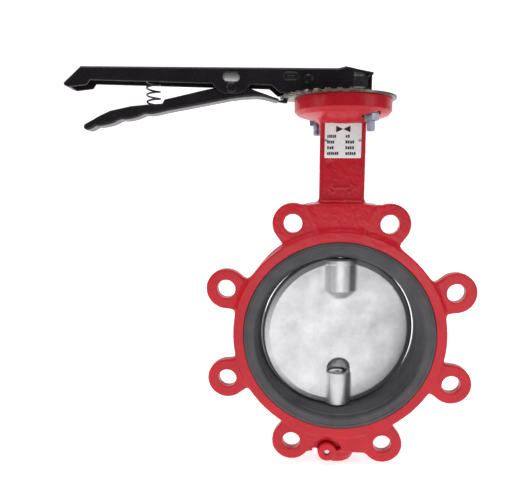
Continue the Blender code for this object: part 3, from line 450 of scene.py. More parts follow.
def arc(centre, radius, first, last, count):
    angles = [math.radians(first + (last - first) * k / (count - 1)) for k in range(count)]
    return [(centre[0] + radius * math.cos(a), centre[1] + radius * math.sin(a)) for a in angles]


def circle(radius, count):
    angles = [2 * math.pi * k / count for k in range(count)]
    return [(radius * math.cos(a), radius * math.sin(a)) for a in angles]


def rectangle(left, right, low, high):
    return [(right, high), (left, high), (left, low), (right, low)]


def hexagon(across_flats):
    return circle(across_flats / math.sqrt(3), 6)


ALONG_Y = Matrix.Rotation(-math.pi / 2, 4, 'X')
UPRIGHT = Matrix.Rotation(math.pi / 2, 4, 'X')
TO_METRES = Matrix.Scale(MM, 4)
STEM_TURN = Matrix.Rotation(OPEN_ANGLE, 4, 'Z')


def at(x, y, z):
    return Matrix.Translation((x, y, z))


# ---------------------------------------------------------------- materials

def shader_of(name):
    material = bpy.data.materials.new(name)
    material.use_nodes = True
    return material, material.node_tree, material.node_tree.nodes["Principled BSDF"]


def position(tree, scale=1000.0, stretch=(1, 1, 1)):
    """Object coordinates in millimetres, optionally stretched along an axis."""
    source = tree.nodes.new("ShaderNodeTexCoord")
    mapping = tree.nodes.new("ShaderNodeMapping")
    mapping.inputs["Scale"].default_value = [scale * s for s in stretch]
    tree.links.new(source.outputs["Object"], mapping.inputs["Vector"])
    return mapping.outputs["Vector"]


def noise(tree, vector, scale, detail=4.0, roughness=0.55):
    node = tree.nodes.new("ShaderNodeTexNoise")
    node.inputs["Scale"].default_value = scale
    node.inputs["Detail"].default_value = detail
    node.inputs["Roughness"].default_value = roughness
    tree.links.new(vector, node.inputs["Vector"])
    return node.outputs["Fac"]


def ramp(tree, value, stops):
    """Map a value to colours: (place, (r, g, b)) stops, or numbers as greys."""
    node = tree.nodes.new("ShaderNodeValToRGB")
    elements = node.color_ramp.elements
    while len(elements) < len(stops):
        elements.new(0.5)
    for element, (place, colour) in zip(elements, stops):
        element.position = place
        rgb = colour if isinstance(colour, tuple) else (colour, colour, colour)
        element.color = (*rgb, 1)
    tree.links.new(value, node.inputs["Fac"])
    return node.outputs["Color"]


def tint(tree, share, under, over):
    """Mix two colours by a value; a colour is a tuple or a socket."""
    node = tree.nodes.new("ShaderNodeMix")
    node.data_type = 'RGBA'
    tree.links.new(share, node.inputs[0])
    for socket, colour in ((node.inputs[6], under), (node.inputs[7], over)):
        if isinstance(colour, tuple):
            socket.default_value = (*colour, 1)
        else:
            tree.links.new(colour, socket)
    return node.outputs[2]


def mottled(tree, value, low, high, light, dark):
    """Go from one colour to another as a value goes from low to high."""
    return tint(tree, ramp(tree, value, [(low, 0.0), (high, 1.0)]), light, dark)


def finish(tree, shader, base, grain, low, high):
    """Give a shader its colour, and a roughness from low and high (grain, roughness) pairs."""
    tree.links.new(base, shader.inputs["Base Color"])
    tree.links.new(ramp(tree, grain, [low, high]), shader.inputs["Roughness"])


def relief(tree, shader, height, distance, strength=1.0, under=None):
    bump = tree.nodes.new("ShaderNodeBump")
    bump.inputs["Strength"].default_value = strength
    bump.inputs["Distance"].default_value = distance
    tree.links.new(height, bump.inputs["Height"])
    if under is not None:
        tree.links.new(under, bump.inputs["Normal"])
    tree.links.new(bump.outputs["Normal"], shader.inputs["Normal"])
    return bump.outputs["Normal"]


def red_paint():
    """Glossy epoxy over sand-cast iron: orange peel, sand grain and dark specks."""
    material, tree, shader = shader_of("red_epoxy")
    place = position(tree)
    broad = noise(tree, place, 0.035, 3)
    fine = noise(tree, place, 0.55, 5, 0.6)
    base = mottled(tree, broad, 0.35, 0.7, (0.53, 0.0045, 0.016), (0.44, 0.0035, 0.013))
    speck = ramp(tree, noise(tree, place, 1.7, 3, 0.7), [(0.62, 0.0), (0.72, 0.35)])
    base = tint(tree, speck, base, (0.3, 0.003, 0.008))
    finish(tree, shader, base, fine, (0.3, 0.3), (0.75, 0.45))
    shader.inputs["Specular IOR Level"].default_value = 0.3
    shader.inputs["Coat Weight"].default_value = 0.12
    shader.inputs["Coat Roughness"].default_value = 0.16
    grain = relief(tree, shader, fine, 0.00025, 0.35)
    relief(tree, shader, noise(tree, place, 0.16, 3), 0.0012, 0.3, grain)
    return material


def rubber():
    """Moulded black rubber with a chalky bloom."""
    material, tree, shader = shader_of("moulded_rubber")
    place = position(tree)
    bloom = noise(tree, place, 0.06, 4)
    base = mottled(tree, bloom, 0.35, 0.7, (0.028, 0.026, 0.029), (0.05, 0.047, 0.051))
    grain = noise(tree, place, 0.9, 4, 0.6)
    finish(tree, shader, base, grain, (0.3, 0.42), (0.7, 0.6))
    shader.inputs["Specular IOR Level"].default_value = 0.6
    relief(tree, shader, grain, 0.0002, 0.4)
    return material


def blasted_steel():
    """Satin stainless of the disc: fine blasted grain and faint stains."""
    material, tree, shader = shader_of("satin_disc")
    place = position(tree)
    cloud = noise(tree, place, 0.045, 5, 0.6)
    base = mottled(tree, cloud, 0.3, 0.75, (0.6, 0.6, 0.61), (0.44, 0.44, 0.45))
    stain = ramp(tree, noise(tree, place, 0.3, 6, 0.7), [(0.55, 0.0), (0.75, 0.6)])
    base = tint(tree, stain, base, (0.4, 0.39, 0.385))
    grain = noise(tree, place, 1.6, 3, 0.7)
    finish(tree, shader, base, cloud, (0.3, 0.36), (0.7, 0.48))
    shader.inputs["Metallic"].default_value = 1.0
    relief(tree, shader, grain, 0.00012, 0.35)
    return material


def metal(name, light, dark, rough, stretch=(1, 1, 1)):
    """A worked metal: clouded tone, streaks along the tool's path and fine relief."""
    material, tree, shader = shader_of(name)
    place = position(tree, 1000.0, stretch)
    cloud = noise(tree, place, 0.2, 5, 0.6)
    base = mottled(tree, cloud, 0.3, 0.72, light, dark)
    grain = noise(tree, place, 2.2, 4, 0.65)
    finish(tree, shader, base, grain, (0.25, rough * 0.75), (0.75, rough * 1.3))
    shader.inputs["Metallic"].default_value = 1.0
    relief(tree, shader, grain, 0.00008, 0.5)
    return material


def black_enamel():
    """Black stoving enamel on pressed steel, with pale dust nibs."""
    material, tree, shader = shader_of("black_enamel")
    place = position(tree)
    broad = noise(tree, place, 0.05, 3)
    base = mottled(tree, broad, 0.35, 0.7, (0.0075, 0.006, 0.0075), (0.012, 0.01, 0.012))
    nib = ramp(tree, noise(tree, place, 1.1, 2, 0.6), [(0.71, 0.0), (0.77, 0.6)])
    base = tint(tree, nib, base, (0.06, 0.058, 0.058))
    fine = noise(tree, place, 0.7, 5, 0.6)
    finish(tree, shader, base, fine, (0.3, 0.24), (0.75, 0.4))
    shader.inputs["Specular IOR Level"].default_value = 0.28
    grain = relief(tree, shader, fine, 0.00018, 0.3)
    relief(tree, shader, noise(tree, place, 0.13, 2), 0.0008, 0.3, grain)
    return material


def plastic(name, light, dark, rough, specular=0.5):
    """A dull moulded or printed surface with a little mottling."""
    material, tree, shader = shader_of(name)
    place = position(tree)
    cloud = noise(tree, place, 0.25, 5, 0.6)
    base = mottled(tree, cloud, 0.3, 0.72, light, dark)
    grain = noise(tree, place, 1.2, 4)
    finish(tree, shader, base, grain, (0.3, rough * 0.85), (0.7, rough * 1.15))
    shader.inputs["Specular IOR Level"].default_value = specular
    relief(tree, shader, grain, 0.00006, 0.4)
    return material


RED = red_paint()
RUBBER = rubber()
SATIN = blasted_steel()
ENAMEL = black_enamel()
STAINLESS = metal("ground_stainless", (0.6, 0.61, 0.63), (0.44, 0.45, 0.47), 0.28, (1, 1, 0.1))
ZINC = metal("blue_zinc", (0.5, 0.53, 0.62), (0.26, 0.29, 0.37), 0.36)
BLOCK = metal("zinc_block", (0.6, 0.6, 0.6), (0.45, 0.45, 0.46), 0.4)
STEEL = metal("oiled_steel", (0.3, 0.28, 0.255), (0.14, 0.125, 0.115), 0.4)
DARK_STEEL = metal("dark_steel", (0.13, 0.125, 0.125), (0.07, 0.066, 0.066), 0.34)
SPRING_STEEL = metal("spring_wire", (0.13, 0.125, 0.13), (0.07, 0.068, 0.07), 0.35)
BRONZE = metal("sintered_bronze", (0.45, 0.25, 0.09), (0.3, 0.16, 0.06), 0.42)
PTFE = plastic("ptfe", (0.8, 0.79, 0.75), (0.7, 0.69, 0.65), 0.5)
LABEL = plastic("label_white", (0.86, 0.86, 0.85), (0.78, 0.78, 0.775), 0.32)
INK = plastic("label_ink", (0.016, 0.015, 0.017), (0.03, 0.028, 0.03), 0.45, 0.3)

# ---------------------------------------------------------------- body casting

LUG_STEP = math.radians(45)
FLANGE_PROFILE = [(0, TOP_Z), (FLANGE_R, TOP_Z), (FLANGE_R, RIM_Z), (42.5, RIM_Z - 3.6),
                  (36, RIM_Z - 5.6), (27, RIM_Z - 7.6), (20, RIM_Z - 10), (0, RIM_Z - 10)]
BOSS_PROFILE = [(0, -92), (19.3, -92), (19.3, BOTTOM_Z + 8), (17.3, BOTTOM_Z + 2.6),
                (13.9, BOTTOM_Z), (0, BOTTOM_Z)]
SHOULDER = [(-20, RING_R - 9), (20, RING_R - 9), (22.5, RING_R - 1), (35, SHOULDER_Z - 1.5),
            (21.5, SHOULDER_Z), (-21.5, SHOULDER_Z), (-35, SHOULDER_Z - 1.5),
            (-22.5, RING_R - 1)]
PAD = [(-30, -95), (-30, -RING_R), (-28.8, PIN_Z), (28.8, PIN_Z), (30, -RING_R), (30, -95)]
HALF_ROOT = math.sqrt(0.5)


def arrow_mark(x, z):
    """Flat two-headed arrow, the plain sign for a valve that seals both ways."""
    mark = capsule(x, z, (-11, ARROW_Z), (9, ARROW_Z), 1.0)
    for tip, back in ((-14.5, 5.5), (12.5, -5.5)):
        for rise in (-4, 4):
            end = (tip + back, ARROW_Z + rise)
            mark = join(mark, capsule(x, z, (tip, ARROW_Z), end, 1.0))
    return mark


def casting(x, y, z):
    rho = span(x, z)
    pipe = span(x, y)
    # ring with a cored waist
    body = slab(rho - RING_R, y, -BODY_HALF, BODY_HALF, 1.3)
    waist = np.maximum(WAIST_R - rho, np.abs(y - 6.5) - 11)
    body = cut(body, waist, 7)
    # eight lugs, modelled once and repeated round the ring
    sector = np.mod(np.arctan2(z, x), LUG_STEP) - LUG_STEP / 2
    u = rho * np.cos(sector)
    v = rho * np.sin(sector)
    lug = join(rho - (RING_R - 2), span(u - LUG_PITCH_R, v) - LUG_R, 15)
    lug = slab(lug, y, LUG_FRONT, LUG_FRONT + LUG_T, 1.7)
    body = join(body, lug, 4)
    # shoulder, neck and flange
    shoulder = slab(outline(x, z, SHOULDER), y, -BODY_HALF + 1.1, 22, 2)
    body = join(body, shoulder, 5)
    neck = slab(block(x, y, NECK_W / 2, NECK_D / 2, 4), z, 96, BELL_Z + 6)
    neck = join(neck, outline(pipe, z, FLANGE_PROFILE) - 0.35, 6)
    body = join(body, neck, 6)
    # bottom boss with its pad and the round boss of the cross pin
    pad = slab(outline(x, z, PAD), y, -BODY_HALF + 2.1, 18, 2)
    boss = outline(pipe, z, BOSS_PROFILE) - 0.2 * (x > 5.6) * (z < -100)
    body = join(join(body, pad, 3), boss, 4)
    pin = span(x - PIN_X, z - PIN_Z)
    groove = np.maximum(np.abs(pin - 12.1) - 2.6, 0.5 * (x - PIN_X) - (z - PIN_Z) - 3)
    body = cut(body, slab(groove, y, -40, -18.5, 1), 1.5)
    body = join(body, slab(pin - 9.3, y, -BODY_HALF + 0.8, -8, 1.6), 1.6)
    # a shallow dimple and the raised mark on the neck
    dimple = np.sqrt((x + 11.8) ** 2 + (1.3 * (y + 20)) ** 2 + (z - 167.3) ** 2) - 4.6
    body = cut(body, dimple, 1)
    body = join(body, slab(arrow_mark(x, z), y, -NECK_D / 2 - 0.8, -NECK_D / 2 + 2, 0.5), 0.8)
    body = body + cast_skin(x, y, z)
    # machined bores and holes
    body = cut(body, rho - SEAT_CORE_R, 0.4)
    face = np.maximum(rho - SEAT_R - GAP, SEAT_HALF - SEAT_FLANGE_T - GAP - np.abs(y))
    body = cut(body, face, 0.5)
    body = cut(body, slab(span(u - LUG_PITCH_R, v) - LUG_HOLE_R, y, -30, 0), 1.2)
    body = cut(body, np.maximum(pipe - STEM_BORE_R, BUSH_SHOULDER_Z - np.abs(z)))
    body = cut(body, np.maximum(pipe - STEM_R - GAP, 70 - np.abs(z)))
    body = cut(body, slab(pipe - 17, z, TOP_Z - 5, TOP_Z + 9), 0.5)
    screw = span(np.abs(x - y) * HALF_ROOT - SCREW_PITCH_R, (x + y) * HALF_ROOT)
    body = cut(body, slab(screw - 8, z, SCREW_END_Z, SPOT_FACE_Z), 1)
    body = cut(body, slab(screw - 4.4, z, SCREW_END_Z, TOP_Z + 9), 0.4)
    body = cut(body, slab(screw - 4.4 - np.maximum(z - TOP_Z + 1.8, 0), z, TOP_Z - 3,
                          TOP_Z + 9))
    return cut(body, slab(pin - 2.8, y, -40, 10), 0.8)


def make_casting():
    reach = FLANGE_R + 1
    mesh = field_mesh("casting", casting, [BODY_LOW[0], -reach, BODY_LOW[2]],
                      [BODY_HIGH[0], reach, BODY_HIGH[2]], 1.0, 150000)
    new_piece("casting", mesh, RED, "valve", "red_paint", "valve_body")


# ---------------------------------------------------------------- seat

def make_seat():
    """Rubber seat: sealing bead on each face, coned lip and throat, pierced for the stem."""
    face = SEAT_HALF
    corners = [(SEAT_CORE_R, face - SEAT_FLANGE_T), (SEAT_R, face - SEAT_FLANGE_T),
               (SEAT_R, face), (91.6, face), (90.6, face + 0.5), (89.6, face), (84.2, face),
               (82.6, face - 1.0), (82.0, face - 5.5), (81.1, face - 6.7), (BORE_R, 12)]
    radii = [0.3, 0.3, 1.0, 0.5, 0.7, 0.5, 1.2, 0.8, 0.8, 0.8, 2.5]
    whole = corners + [(r, -h) for r, h in reversed(corners)]
    path = filleted(whole, radii + radii[::-1])
    seat = lathe("seat", path, 256, True, ALONG_Y)
    cutters = []
    for sign in (-1, 1):
        reach = 26
        cutters.append(lathe("pierce", [(0, reach), (STEM_R + GAP, reach),
                                        (STEM_R + GAP, -reach), (0, -reach)], 64,
                             turn=at(0, 0, sign * SEAT_CORE_R)))
    seat = carved(seat, *cutters)
    new_piece("seat", seat, RUBBER, "valve", "rubber", "seat_liner")


# ---------------------------------------------------------------- disc, shaft and stem

DISC_UPPER = [(0, 6.5), (70.5, 6.5), (75.5, 4.8), (77.5, 2.4), (DISC_R, 1.0)]
DISC_PROFILE = DISC_UPPER + [(r, -h) for r, h in reversed(DISC_UPPER)]
HUB_END = 90
UPPER_HUB_R = 15.2
UPPER_HUB_FOOT = 43
LOWER_HUB_R = 13.2
LOWER_HUB_TOP = -42
POCKET_R = 12
POCKET_Y = -9
POCKET_Z = -38


def disc_field(x, y, z):
    rho = span(x, z)
    stem = span(x, y)
    ball = np.sqrt(x * x + y * y + z * z) - DISC_R
    disc = outline(rho, y, DISC_PROFILE)
    upper = outline(stem, z, [(0, HUB_END), (UPPER_HUB_R, HUB_END),
                              (UPPER_HUB_R, UPPER_HUB_FOOT), (9.1, 37), (0, 33)])
    collar = slab(stem - UPPER_HUB_R - 0.7, z, 70, 74.5, 0.6)
    lower = outline(stem, z, [(0, LOWER_HUB_TOP), (LOWER_HUB_R, LOWER_HUB_TOP),
                              (LOWER_HUB_R, -HUB_END), (0, -HUB_END)])
    disc = join(disc, join(upper, collar, 0.8), 4)
    disc = join(disc, lower, 3)
    disc = meet(disc, ball, 0.6)
    dome = np.maximum(span(x, y - POCKET_Y) - POCKET_R, LOWER_HUB_TOP - z)
    roof = np.sqrt(x * x + (y - POCKET_Y) ** 2 + (1.09 * (z - POCKET_Z)) ** 2) - POCKET_R
    disc = cut(disc, np.maximum(dome, np.where(z > POCKET_Z, roof, dome)), 1.2)
    disc = cut(disc, np.maximum(stem - STEM_R - GAP, z - LOWER_HUB_TOP - 1), 0.5)
    return cut(disc, np.maximum(stem - STEM_R - GAP, UPPER_HUB_FOOT + 0.7 - z), 0.5)


def make_disc():
    high = [DISC_R, 16.5, DISC_R]
    low = [-DISC_R, -16.5, -DISC_R]
    mesh = field_mesh("disc_plate", disc_field, low, high, 0.8, 80000, OPEN_ANGLE)
    new_piece("disc_plate", mesh, SATIN, "lever", "disc_metal", "disc")


def make_shafts():
    top = extent("lower_shaft")[1][2]
    low = extent("lower_shaft")[0][2]
    groove_r = 6.6
    half = 3.1
    corners = [(0, top - 3.4), (1.5, top - 3.0), (2.4, top), (STEM_R, top),
               (STEM_R, PIN_Z + half), (groove_r, PIN_Z + half), (groove_r, PIN_Z - half),
               (STEM_R, PIN_Z - half), (STEM_R, low), (0, low)]
    radii = [0, 0.3, 0.4, 0.8, 0.3, 0.4, 0.4, 0.3, 0.8, 0]
    new_piece("pin_shaft", lathe("pin_shaft", filleted(corners, radii), 64), STAINLESS, "valve",
              "stainless", "lower_shaft")
    low, high = extent("upper_stem")
    low = low[2]
    high = high[2]
    neck = CLAMP_LOW - GAP
    groove = extent("stem_circlip")[0][2] - 0.15
    corners = [(0, neck), (STEM_R, neck), (STEM_R, groove + 2), (8.5, groove + 2),
               (8.5, groove), (STEM_R, groove), (STEM_R, low + 8), (0, low + 8)]
    radii = [0, 0.8, 0.2, 0.3, 0.3, 0.2, 0.6, 0]
    barrel = lathe("stem", filleted(corners, radii), 64)
    head = prism("square", rectangle(-SQUARE_HALF, SQUARE_HALF, -SQUARE_HALF, SQUARE_HALF),
                 neck - 1, high, turn=STEM_TURN, bevel=0.7)
    drive = prism("drive", hexagon(14), low, low + 9, turn=STEM_TURN, bevel=0.5)
    new_piece("turning_stem", merged("turning_stem", [barrel, head, drive]), STAINLESS, "lever",
              "stainless", "upper_stem")


# ---------------------------------------------------------------- hex hardware

def thread(radius, low, high, pitch):
    """A threaded shank: one closed helical surface with plain ends."""
    depth = 0.55
    steps = 28
    shape = bmesh.new()
    rows = []
    count = int((high - low) / (pitch / 8)) + 1
    for i in range(count + 1):
        height = low + (high - low) * i / count
        row = []
        for k in range(steps):
            angle = 2 * math.pi * k / steps
            phase = (height / pitch - k / steps) % 1
            crest = abs(phase * 2 - 1)
            fade = min(1, (height - low) / 1.2)
            r = radius - depth * (1 - crest) - 0.7 * (1 - fade)
            row.append(shape.verts.new((r * math.cos(angle), r * math.sin(angle), height)))
        rows.append(row)
    skin(shape, rows)
    return mesh_of(shape, "thread")


def hex_nut(name, across, low, high, hole, turn):
    """A hexagon nut whose corners are turned off at 30 degrees."""
    half_flats = across / 2

    def field(x, y, z):
        flats = None
        for k in range(3):
            angle = turn + math.radians(30 + 60 * k)
            side = np.abs(x * math.cos(angle) + y * math.sin(angle)) - half_flats
            flats = side if flats is None else np.maximum(flats, side)
        pipe = span(x, y)
        nut = slab(flats, z, low, high)
        middle = (low + high) / 2
        cone = (pipe - half_flats - 0.25) * 0.5 + (np.abs(z - middle) - (high - low) / 2) * 0.866
        return cut(np.maximum(nut, cone), pipe - hole, 0.5)

    reach = across / math.sqrt(3)
    return field_mesh(name, field, [-reach, -reach, low], [reach, reach, high], 0.28, 5000)


def split_washer(name, inner, outer, low, high, turn):
    """A spring washer: one turn of square wire with a slanted split."""
    steps = 40
    gap = math.radians(7)
    shape = bmesh.new()
    rows = []
    for k in range(steps + 1):
        angle = turn + gap + (2 * math.pi - 2 * gap) * k / steps
        lift = 0.25 * (k / steps - 0.5)
        row = []
        for r, h in ((inner, low), (outer, low), (outer, high), (inner, high)):
            row.append(shape.verts.new((r * math.cos(angle), r * math.sin(angle), h + lift)))
        rows.append(row)
    skin(shape, rows)
    bmesh.ops.recalc_face_normals(shape, faces=shape.faces)
    bmesh.ops.bevel(shape, geom=[e for e in shape.edges if e.calc_face_angle(0) > 0.8],
                    offset=0.18, segments=2, affect='EDGES')
    return mesh_of(shape, name)


def scaled(mesh, matrix):
    mesh.transform(TO_METRES @ matrix)
    return mesh


def make_flange_screws():
    """Countersunk socket screws through plate and flange, with spring washers and nuts."""
    for k in (1, 2):
        low, high = extent(f"flange_screw_{k}")
        x = (low[0] + high[0]) / 2
        y = (low[1] + high[1]) / 2
        seat = SPOT_FACE_Z - GAP
        head_r = (high[0] - low[0]) / 2
        corners = [(0, high[2]), (head_r, high[2]), (head_r, high[2] - 0.5), (SCREW_R, high[2] - 3.9),
                   (SCREW_R, seat + 2), (0, seat + 2)]
        head = lathe("head", filleted(corners, [0, 0.3, 0.3, 0.5, 0, 0], 3), 40, turn=at(x, y, 0))
        socket = prism("socket", hexagon(5), high[2] - 3, high[2] + 1, turn=at(x, y, 0))
        head = carved(head, socket)
        shank = scaled(thread(SCREW_R, low[2], seat + 2.2, 1.25), at(x, y, 0))
        new_piece(f"countersunk_screw_{k}", merged(f"countersunk_screw_{k}", [head, shank]), ZINC,
                  "valve", "zinc", f"flange_screw_{k}")
        low, high = extent(f"flange_washer_{k}")
        washer = split_washer("washer", 4.3, 7.2, low[2] + 0.12, high[2] - 0.12, 1.3 * k)
        new_piece(f"spring_washer_{k}", scaled(washer, at(x, y, 0)), ZINC, "valve", "zinc",
                  f"flange_washer_{k}")
        low, high = extent(f"flange_nut_{k}")
        nut = hex_nut("nut", 13, low[2], high[2], 4.25, math.radians(15 * k))
        nut.transform(at(x * MM, y * MM, 0))
        new_piece(f"hex_nut_{k}", nut, ZINC, "valve", "zinc", f"flange_nut_{k}")


# ---------------------------------------------------------------- notch plate and label

NOTCH_R = 60
NOTCH_ROOT = 52.5
NOTCH_HALF = 2.9
PLATE_R = 50.2


def plate_outline():
    """Round plate whose left front sector stands out and carries ten notches."""
    points = [(NOTCH_R * math.cos(math.radians(174)), NOTCH_R * math.sin(math.radians(174)))]
    outer = math.asin(NOTCH_HALF / NOTCH_R)
    inner = math.asin(NOTCH_HALF / NOTCH_ROOT)
    for k in range(10):
        middle = math.pi + math.radians(10 * k)
        for radius, angle in ((NOTCH_R, middle - outer), (NOTCH_ROOT, middle - inner),
                              (NOTCH_ROOT, middle + inner), (NOTCH_R, middle + outer)):
            points.append((radius * math.cos(angle), radius * math.sin(angle)))
    end = math.radians(276)
    points.append((NOTCH_R * math.cos(end), NOTCH_R * math.sin(end)))
    return points + arc((0, 0), PLATE_R, 285, 525, 110)


def make_notch_plate():
    low = extent("notch_plate")[0][2]
    plate = prism("lock_plate", plate_outline(), low, PLATE_TOP,
                  [circle(STEM_R + 0.8, 72)], bevel=0.35)
    cutters = []
    for sign in (-1, 1):
        x = sign * SCREW_PITCH_R * HALF_ROOT
        y = -sign * SCREW_PITCH_R * HALF_ROOT
        cutters.append(lathe("sink", [(0, PLATE_TOP + 1), (8.9, PLATE_TOP + 1),
                                      (7.9, PLATE_TOP), (4.9, low - 1), (0, low - 1)], 48,
                             turn=at(x, y, 0)))
    plate = carved(plate, *cutters)
    new_piece("lock_plate", plate, STEEL, "valve", "bare_steel", "notch_plate")


def make_label():
    """White plate with a plain valve sign and rows of bars in place of print."""
    low, high = extent("nameplate")
    front = low[1]
    width = high[0] - low[0]
    height = high[2] - low[2]
    middle = (low[2] + high[2]) / 2
    corners = []
    for k, (sx, sy) in enumerate([(1, 1), (-1, 1), (-1, -1), (1, -1)]):
        corners += arc((sx * (width / 2 - 0.9), sy * (height / 2 - 0.9)), 0.9, 90 * k,
                       90 * k + 90, 6)
    plate = prism("label_plate", corners, 0, high[1] - front, turn=at(0, high[1], middle) @ UPRIGHT,
                  bevel=0.15)
    new_piece("label_plate", plate, LABEL, "valve", "nameplate", "nameplate")
    place = at(0, front + 0.02, middle) @ UPRIGHT
    marks = []
    for side in (-1, 1):
        marks.append(prism("bow", [(0, 10.4), (side * 6.6, 13.4), (side * 6.6, 7.4)], 0, 0.09,
                           turn=place))
    widths = [(8.6, 4.0), (6.8, 8.4), (6.6, 8.2), (11.0, 9.8)]
    for row, (left, right) in enumerate(widths):
        level = 3.9 - 5.2 * row
        for start, length in ((-14.6, left), (2.4, right)):
            count = max(2, round(length / 1.9))
            step = length / count
            for k in range(count):
                wide = step * (0.72 + 0.1 * ((k + row) % 2))
                x0 = start + k * step
                tall = 1.4 if (k + row) % 3 else 1.1
                bar = rectangle(x0, x0 + wide, level - 1.4, level + tall)
                marks.append(prism("bar", bar, 0, 0.09, turn=place))
    new_piece("label_marks", merged("label_marks", marks), INK, "valve", "nameplate")
    for k, sign in enumerate((-1, 1), 1):
        dome = filleted([(0, 0.9), (0.9, 0.75), (1.4, 0), (0.6, -0.1), (0.6, -4), (0, -4)],
                        [0, 0.5, 0.1, 0, 0.1, 0])
        turn = at(sign * 15.6, front - 0.05, middle) @ UPRIGHT
        new_piece(f"drive_rivet_{k}", lathe("rivet", dome, 24, turn=turn), ZINC, "valve", "zinc",
                  f"nameplate_rivet_{k}")


# ---------------------------------------------------------------- handle

def handle_top(x):
    return HANDLE_TOP + HANDLE_DROOP * x / HANDLE_LENGTH


def handle_ridge():
    """Upper edge of the handle from its slanted nose to the end of its cheeks."""
    grip = HANDLE_TIP + NOSE_SLANT
    return [(grip, handle_top(grip)), (-8, handle_top(-8)), (-1, HANDLE_CREST),
            (CHEEK_END, HANDLE_CREST - 1.3)]


def handle_side():
    """Side view of the handle with its cheeks, along the stem's own X and Z."""
    tip = HANDLE_TIP
    ear = PIVOT_Z - EAR_R
    head = [(CHEEK_END, HEAD_EDGE), (-61.5, HEAD_EDGE), (-69.5, HANDLE_EDGE - 0.3)]
    ears = [(PIVOT_X + 17, HANDLE_EDGE), (PIVOT_X + 12, ear + 2.4), (PIVOT_X + 7, ear + 0.4),
            (PIVOT_X, ear), (PIVOT_X - 7, ear + 0.4), (PIVOT_X - 12, ear + 2.4),
            (PIVOT_X - 17, HANDLE_EDGE)]
    nose = [(tip + 23, HANDLE_EDGE + 0.6), (tip + 20, HANDLE_NOSE + 2.2),
            (tip + 5, HANDLE_NOSE), (tip + 1, HANDLE_NOSE + 1.4), (tip, HANDLE_NOSE + 4)]
    return handle_ridge() + head + ears + nose


def handle_hollow():
    grip = HANDLE_TIP + NOSE_SLANT + HANDLE_SHEET * 0.6
    return [(grip, handle_top(grip) - HANDLE_SHEET), (40, handle_top(40) - HANDLE_SHEET),
            (40, 200), (HANDLE_TIP + 5.5, 200), (HANDLE_TIP + 5.5, HANDLE_NOSE + 5)]


SIDE = handle_side()
HOLLOW = handle_hollow()
CREST = ([(HANDLE_TIP - 12, 223.6), (HANDLE_TIP, HANDLE_NOSE + 4)] + handle_ridge()
         + [(60, HANDLE_TOP), (60, 150), (HANDLE_TIP - 12, 150)])
TONGUE_TIP = 26
TAB_X = 22.6
OVAL_Z = 245.2


def handle_field(x, y, z):
    side = outline(x, z, SIDE)
    shell = slab(outline(x, z, CREST), y, -HANDLE_HALF, HANDLE_HALF, 3.0)
    shell = meet(shell, side, 0.9)
    hollow = slab(outline(x, z, HOLLOW), y, -HANDLE_HALF + HANDLE_SHEET,
                  HANDLE_HALF - HANDLE_SHEET, 0.9)
    shell = cut(shell, hollow, 0.9)
    # tongue over the stem with a tab bent down at its end
    root_z = HANDLE_CREST - 0.3
    tip_z = root_z - 4.6
    slope = [(-0.8, root_z), (TONGUE_TIP, tip_z), (TONGUE_TIP - 0.6, tip_z - 2.2),
             (-0.8, HANDLE_TOP - 1.8)]
    wide = HANDLE_HALF - 0.4
    shell = join(shell, slab(outline(x, z, slope), y, -wide, wide, 0.7), 1.2)
    tab = [(TAB_X + 0.1, tip_z), (TAB_X + 1.8, tip_z), (TAB_X + 1.8, HEAD_EDGE + 0.8),
           (TAB_X + 0.1, HEAD_EDGE + 0.8)]
    shell = join(shell, slab(outline(x, z, tab), y, -wide, wide, 0.4), 1)
    # round-ended slot, pin and rivet holes
    slot = capsule(x, z, (PIVOT_X - 3.8, SLOT_Z), (PIVOT_X + 3.8, SLOT_Z), 4.0)
    shell = cut(shell, slot, 0.8)
    shell = cut(shell, span(x - PIVOT_X, z - PIVOT_Z) - PIVOT_R - GAP)
    shell = cut(shell, span(x - RIVET_X, z - CLAMP_MIDDLE) - PIVOT_R - GAP)
    # plain embossed oval on the front cheek
    oval = np.abs(capsule(x, z, (-55, OVAL_Z), (-47.8, OVAL_Z), 3.1)) - 0.55
    bar = capsule(x, z, (-54, OVAL_Z), (-48.8, OVAL_Z), 0.75)
    emboss = slab(join(oval, bar), y, -HANDLE_HALF - 0.45, -HANDLE_HALF + 1, 0.3)
    return join(shell, emboss, 0.5)


def make_handle():
    mesh = field_mesh("pressed_handle", handle_field, [HANDLE_TIP, -13.6, 228],
                      [TONGUE_TIP, 13.6, HANDLE_CREST], 0.55, 70000, OPEN_ANGLE)
    new_piece("pressed_handle", mesh, ENAMEL, "lever", "black_enamel", "handle")


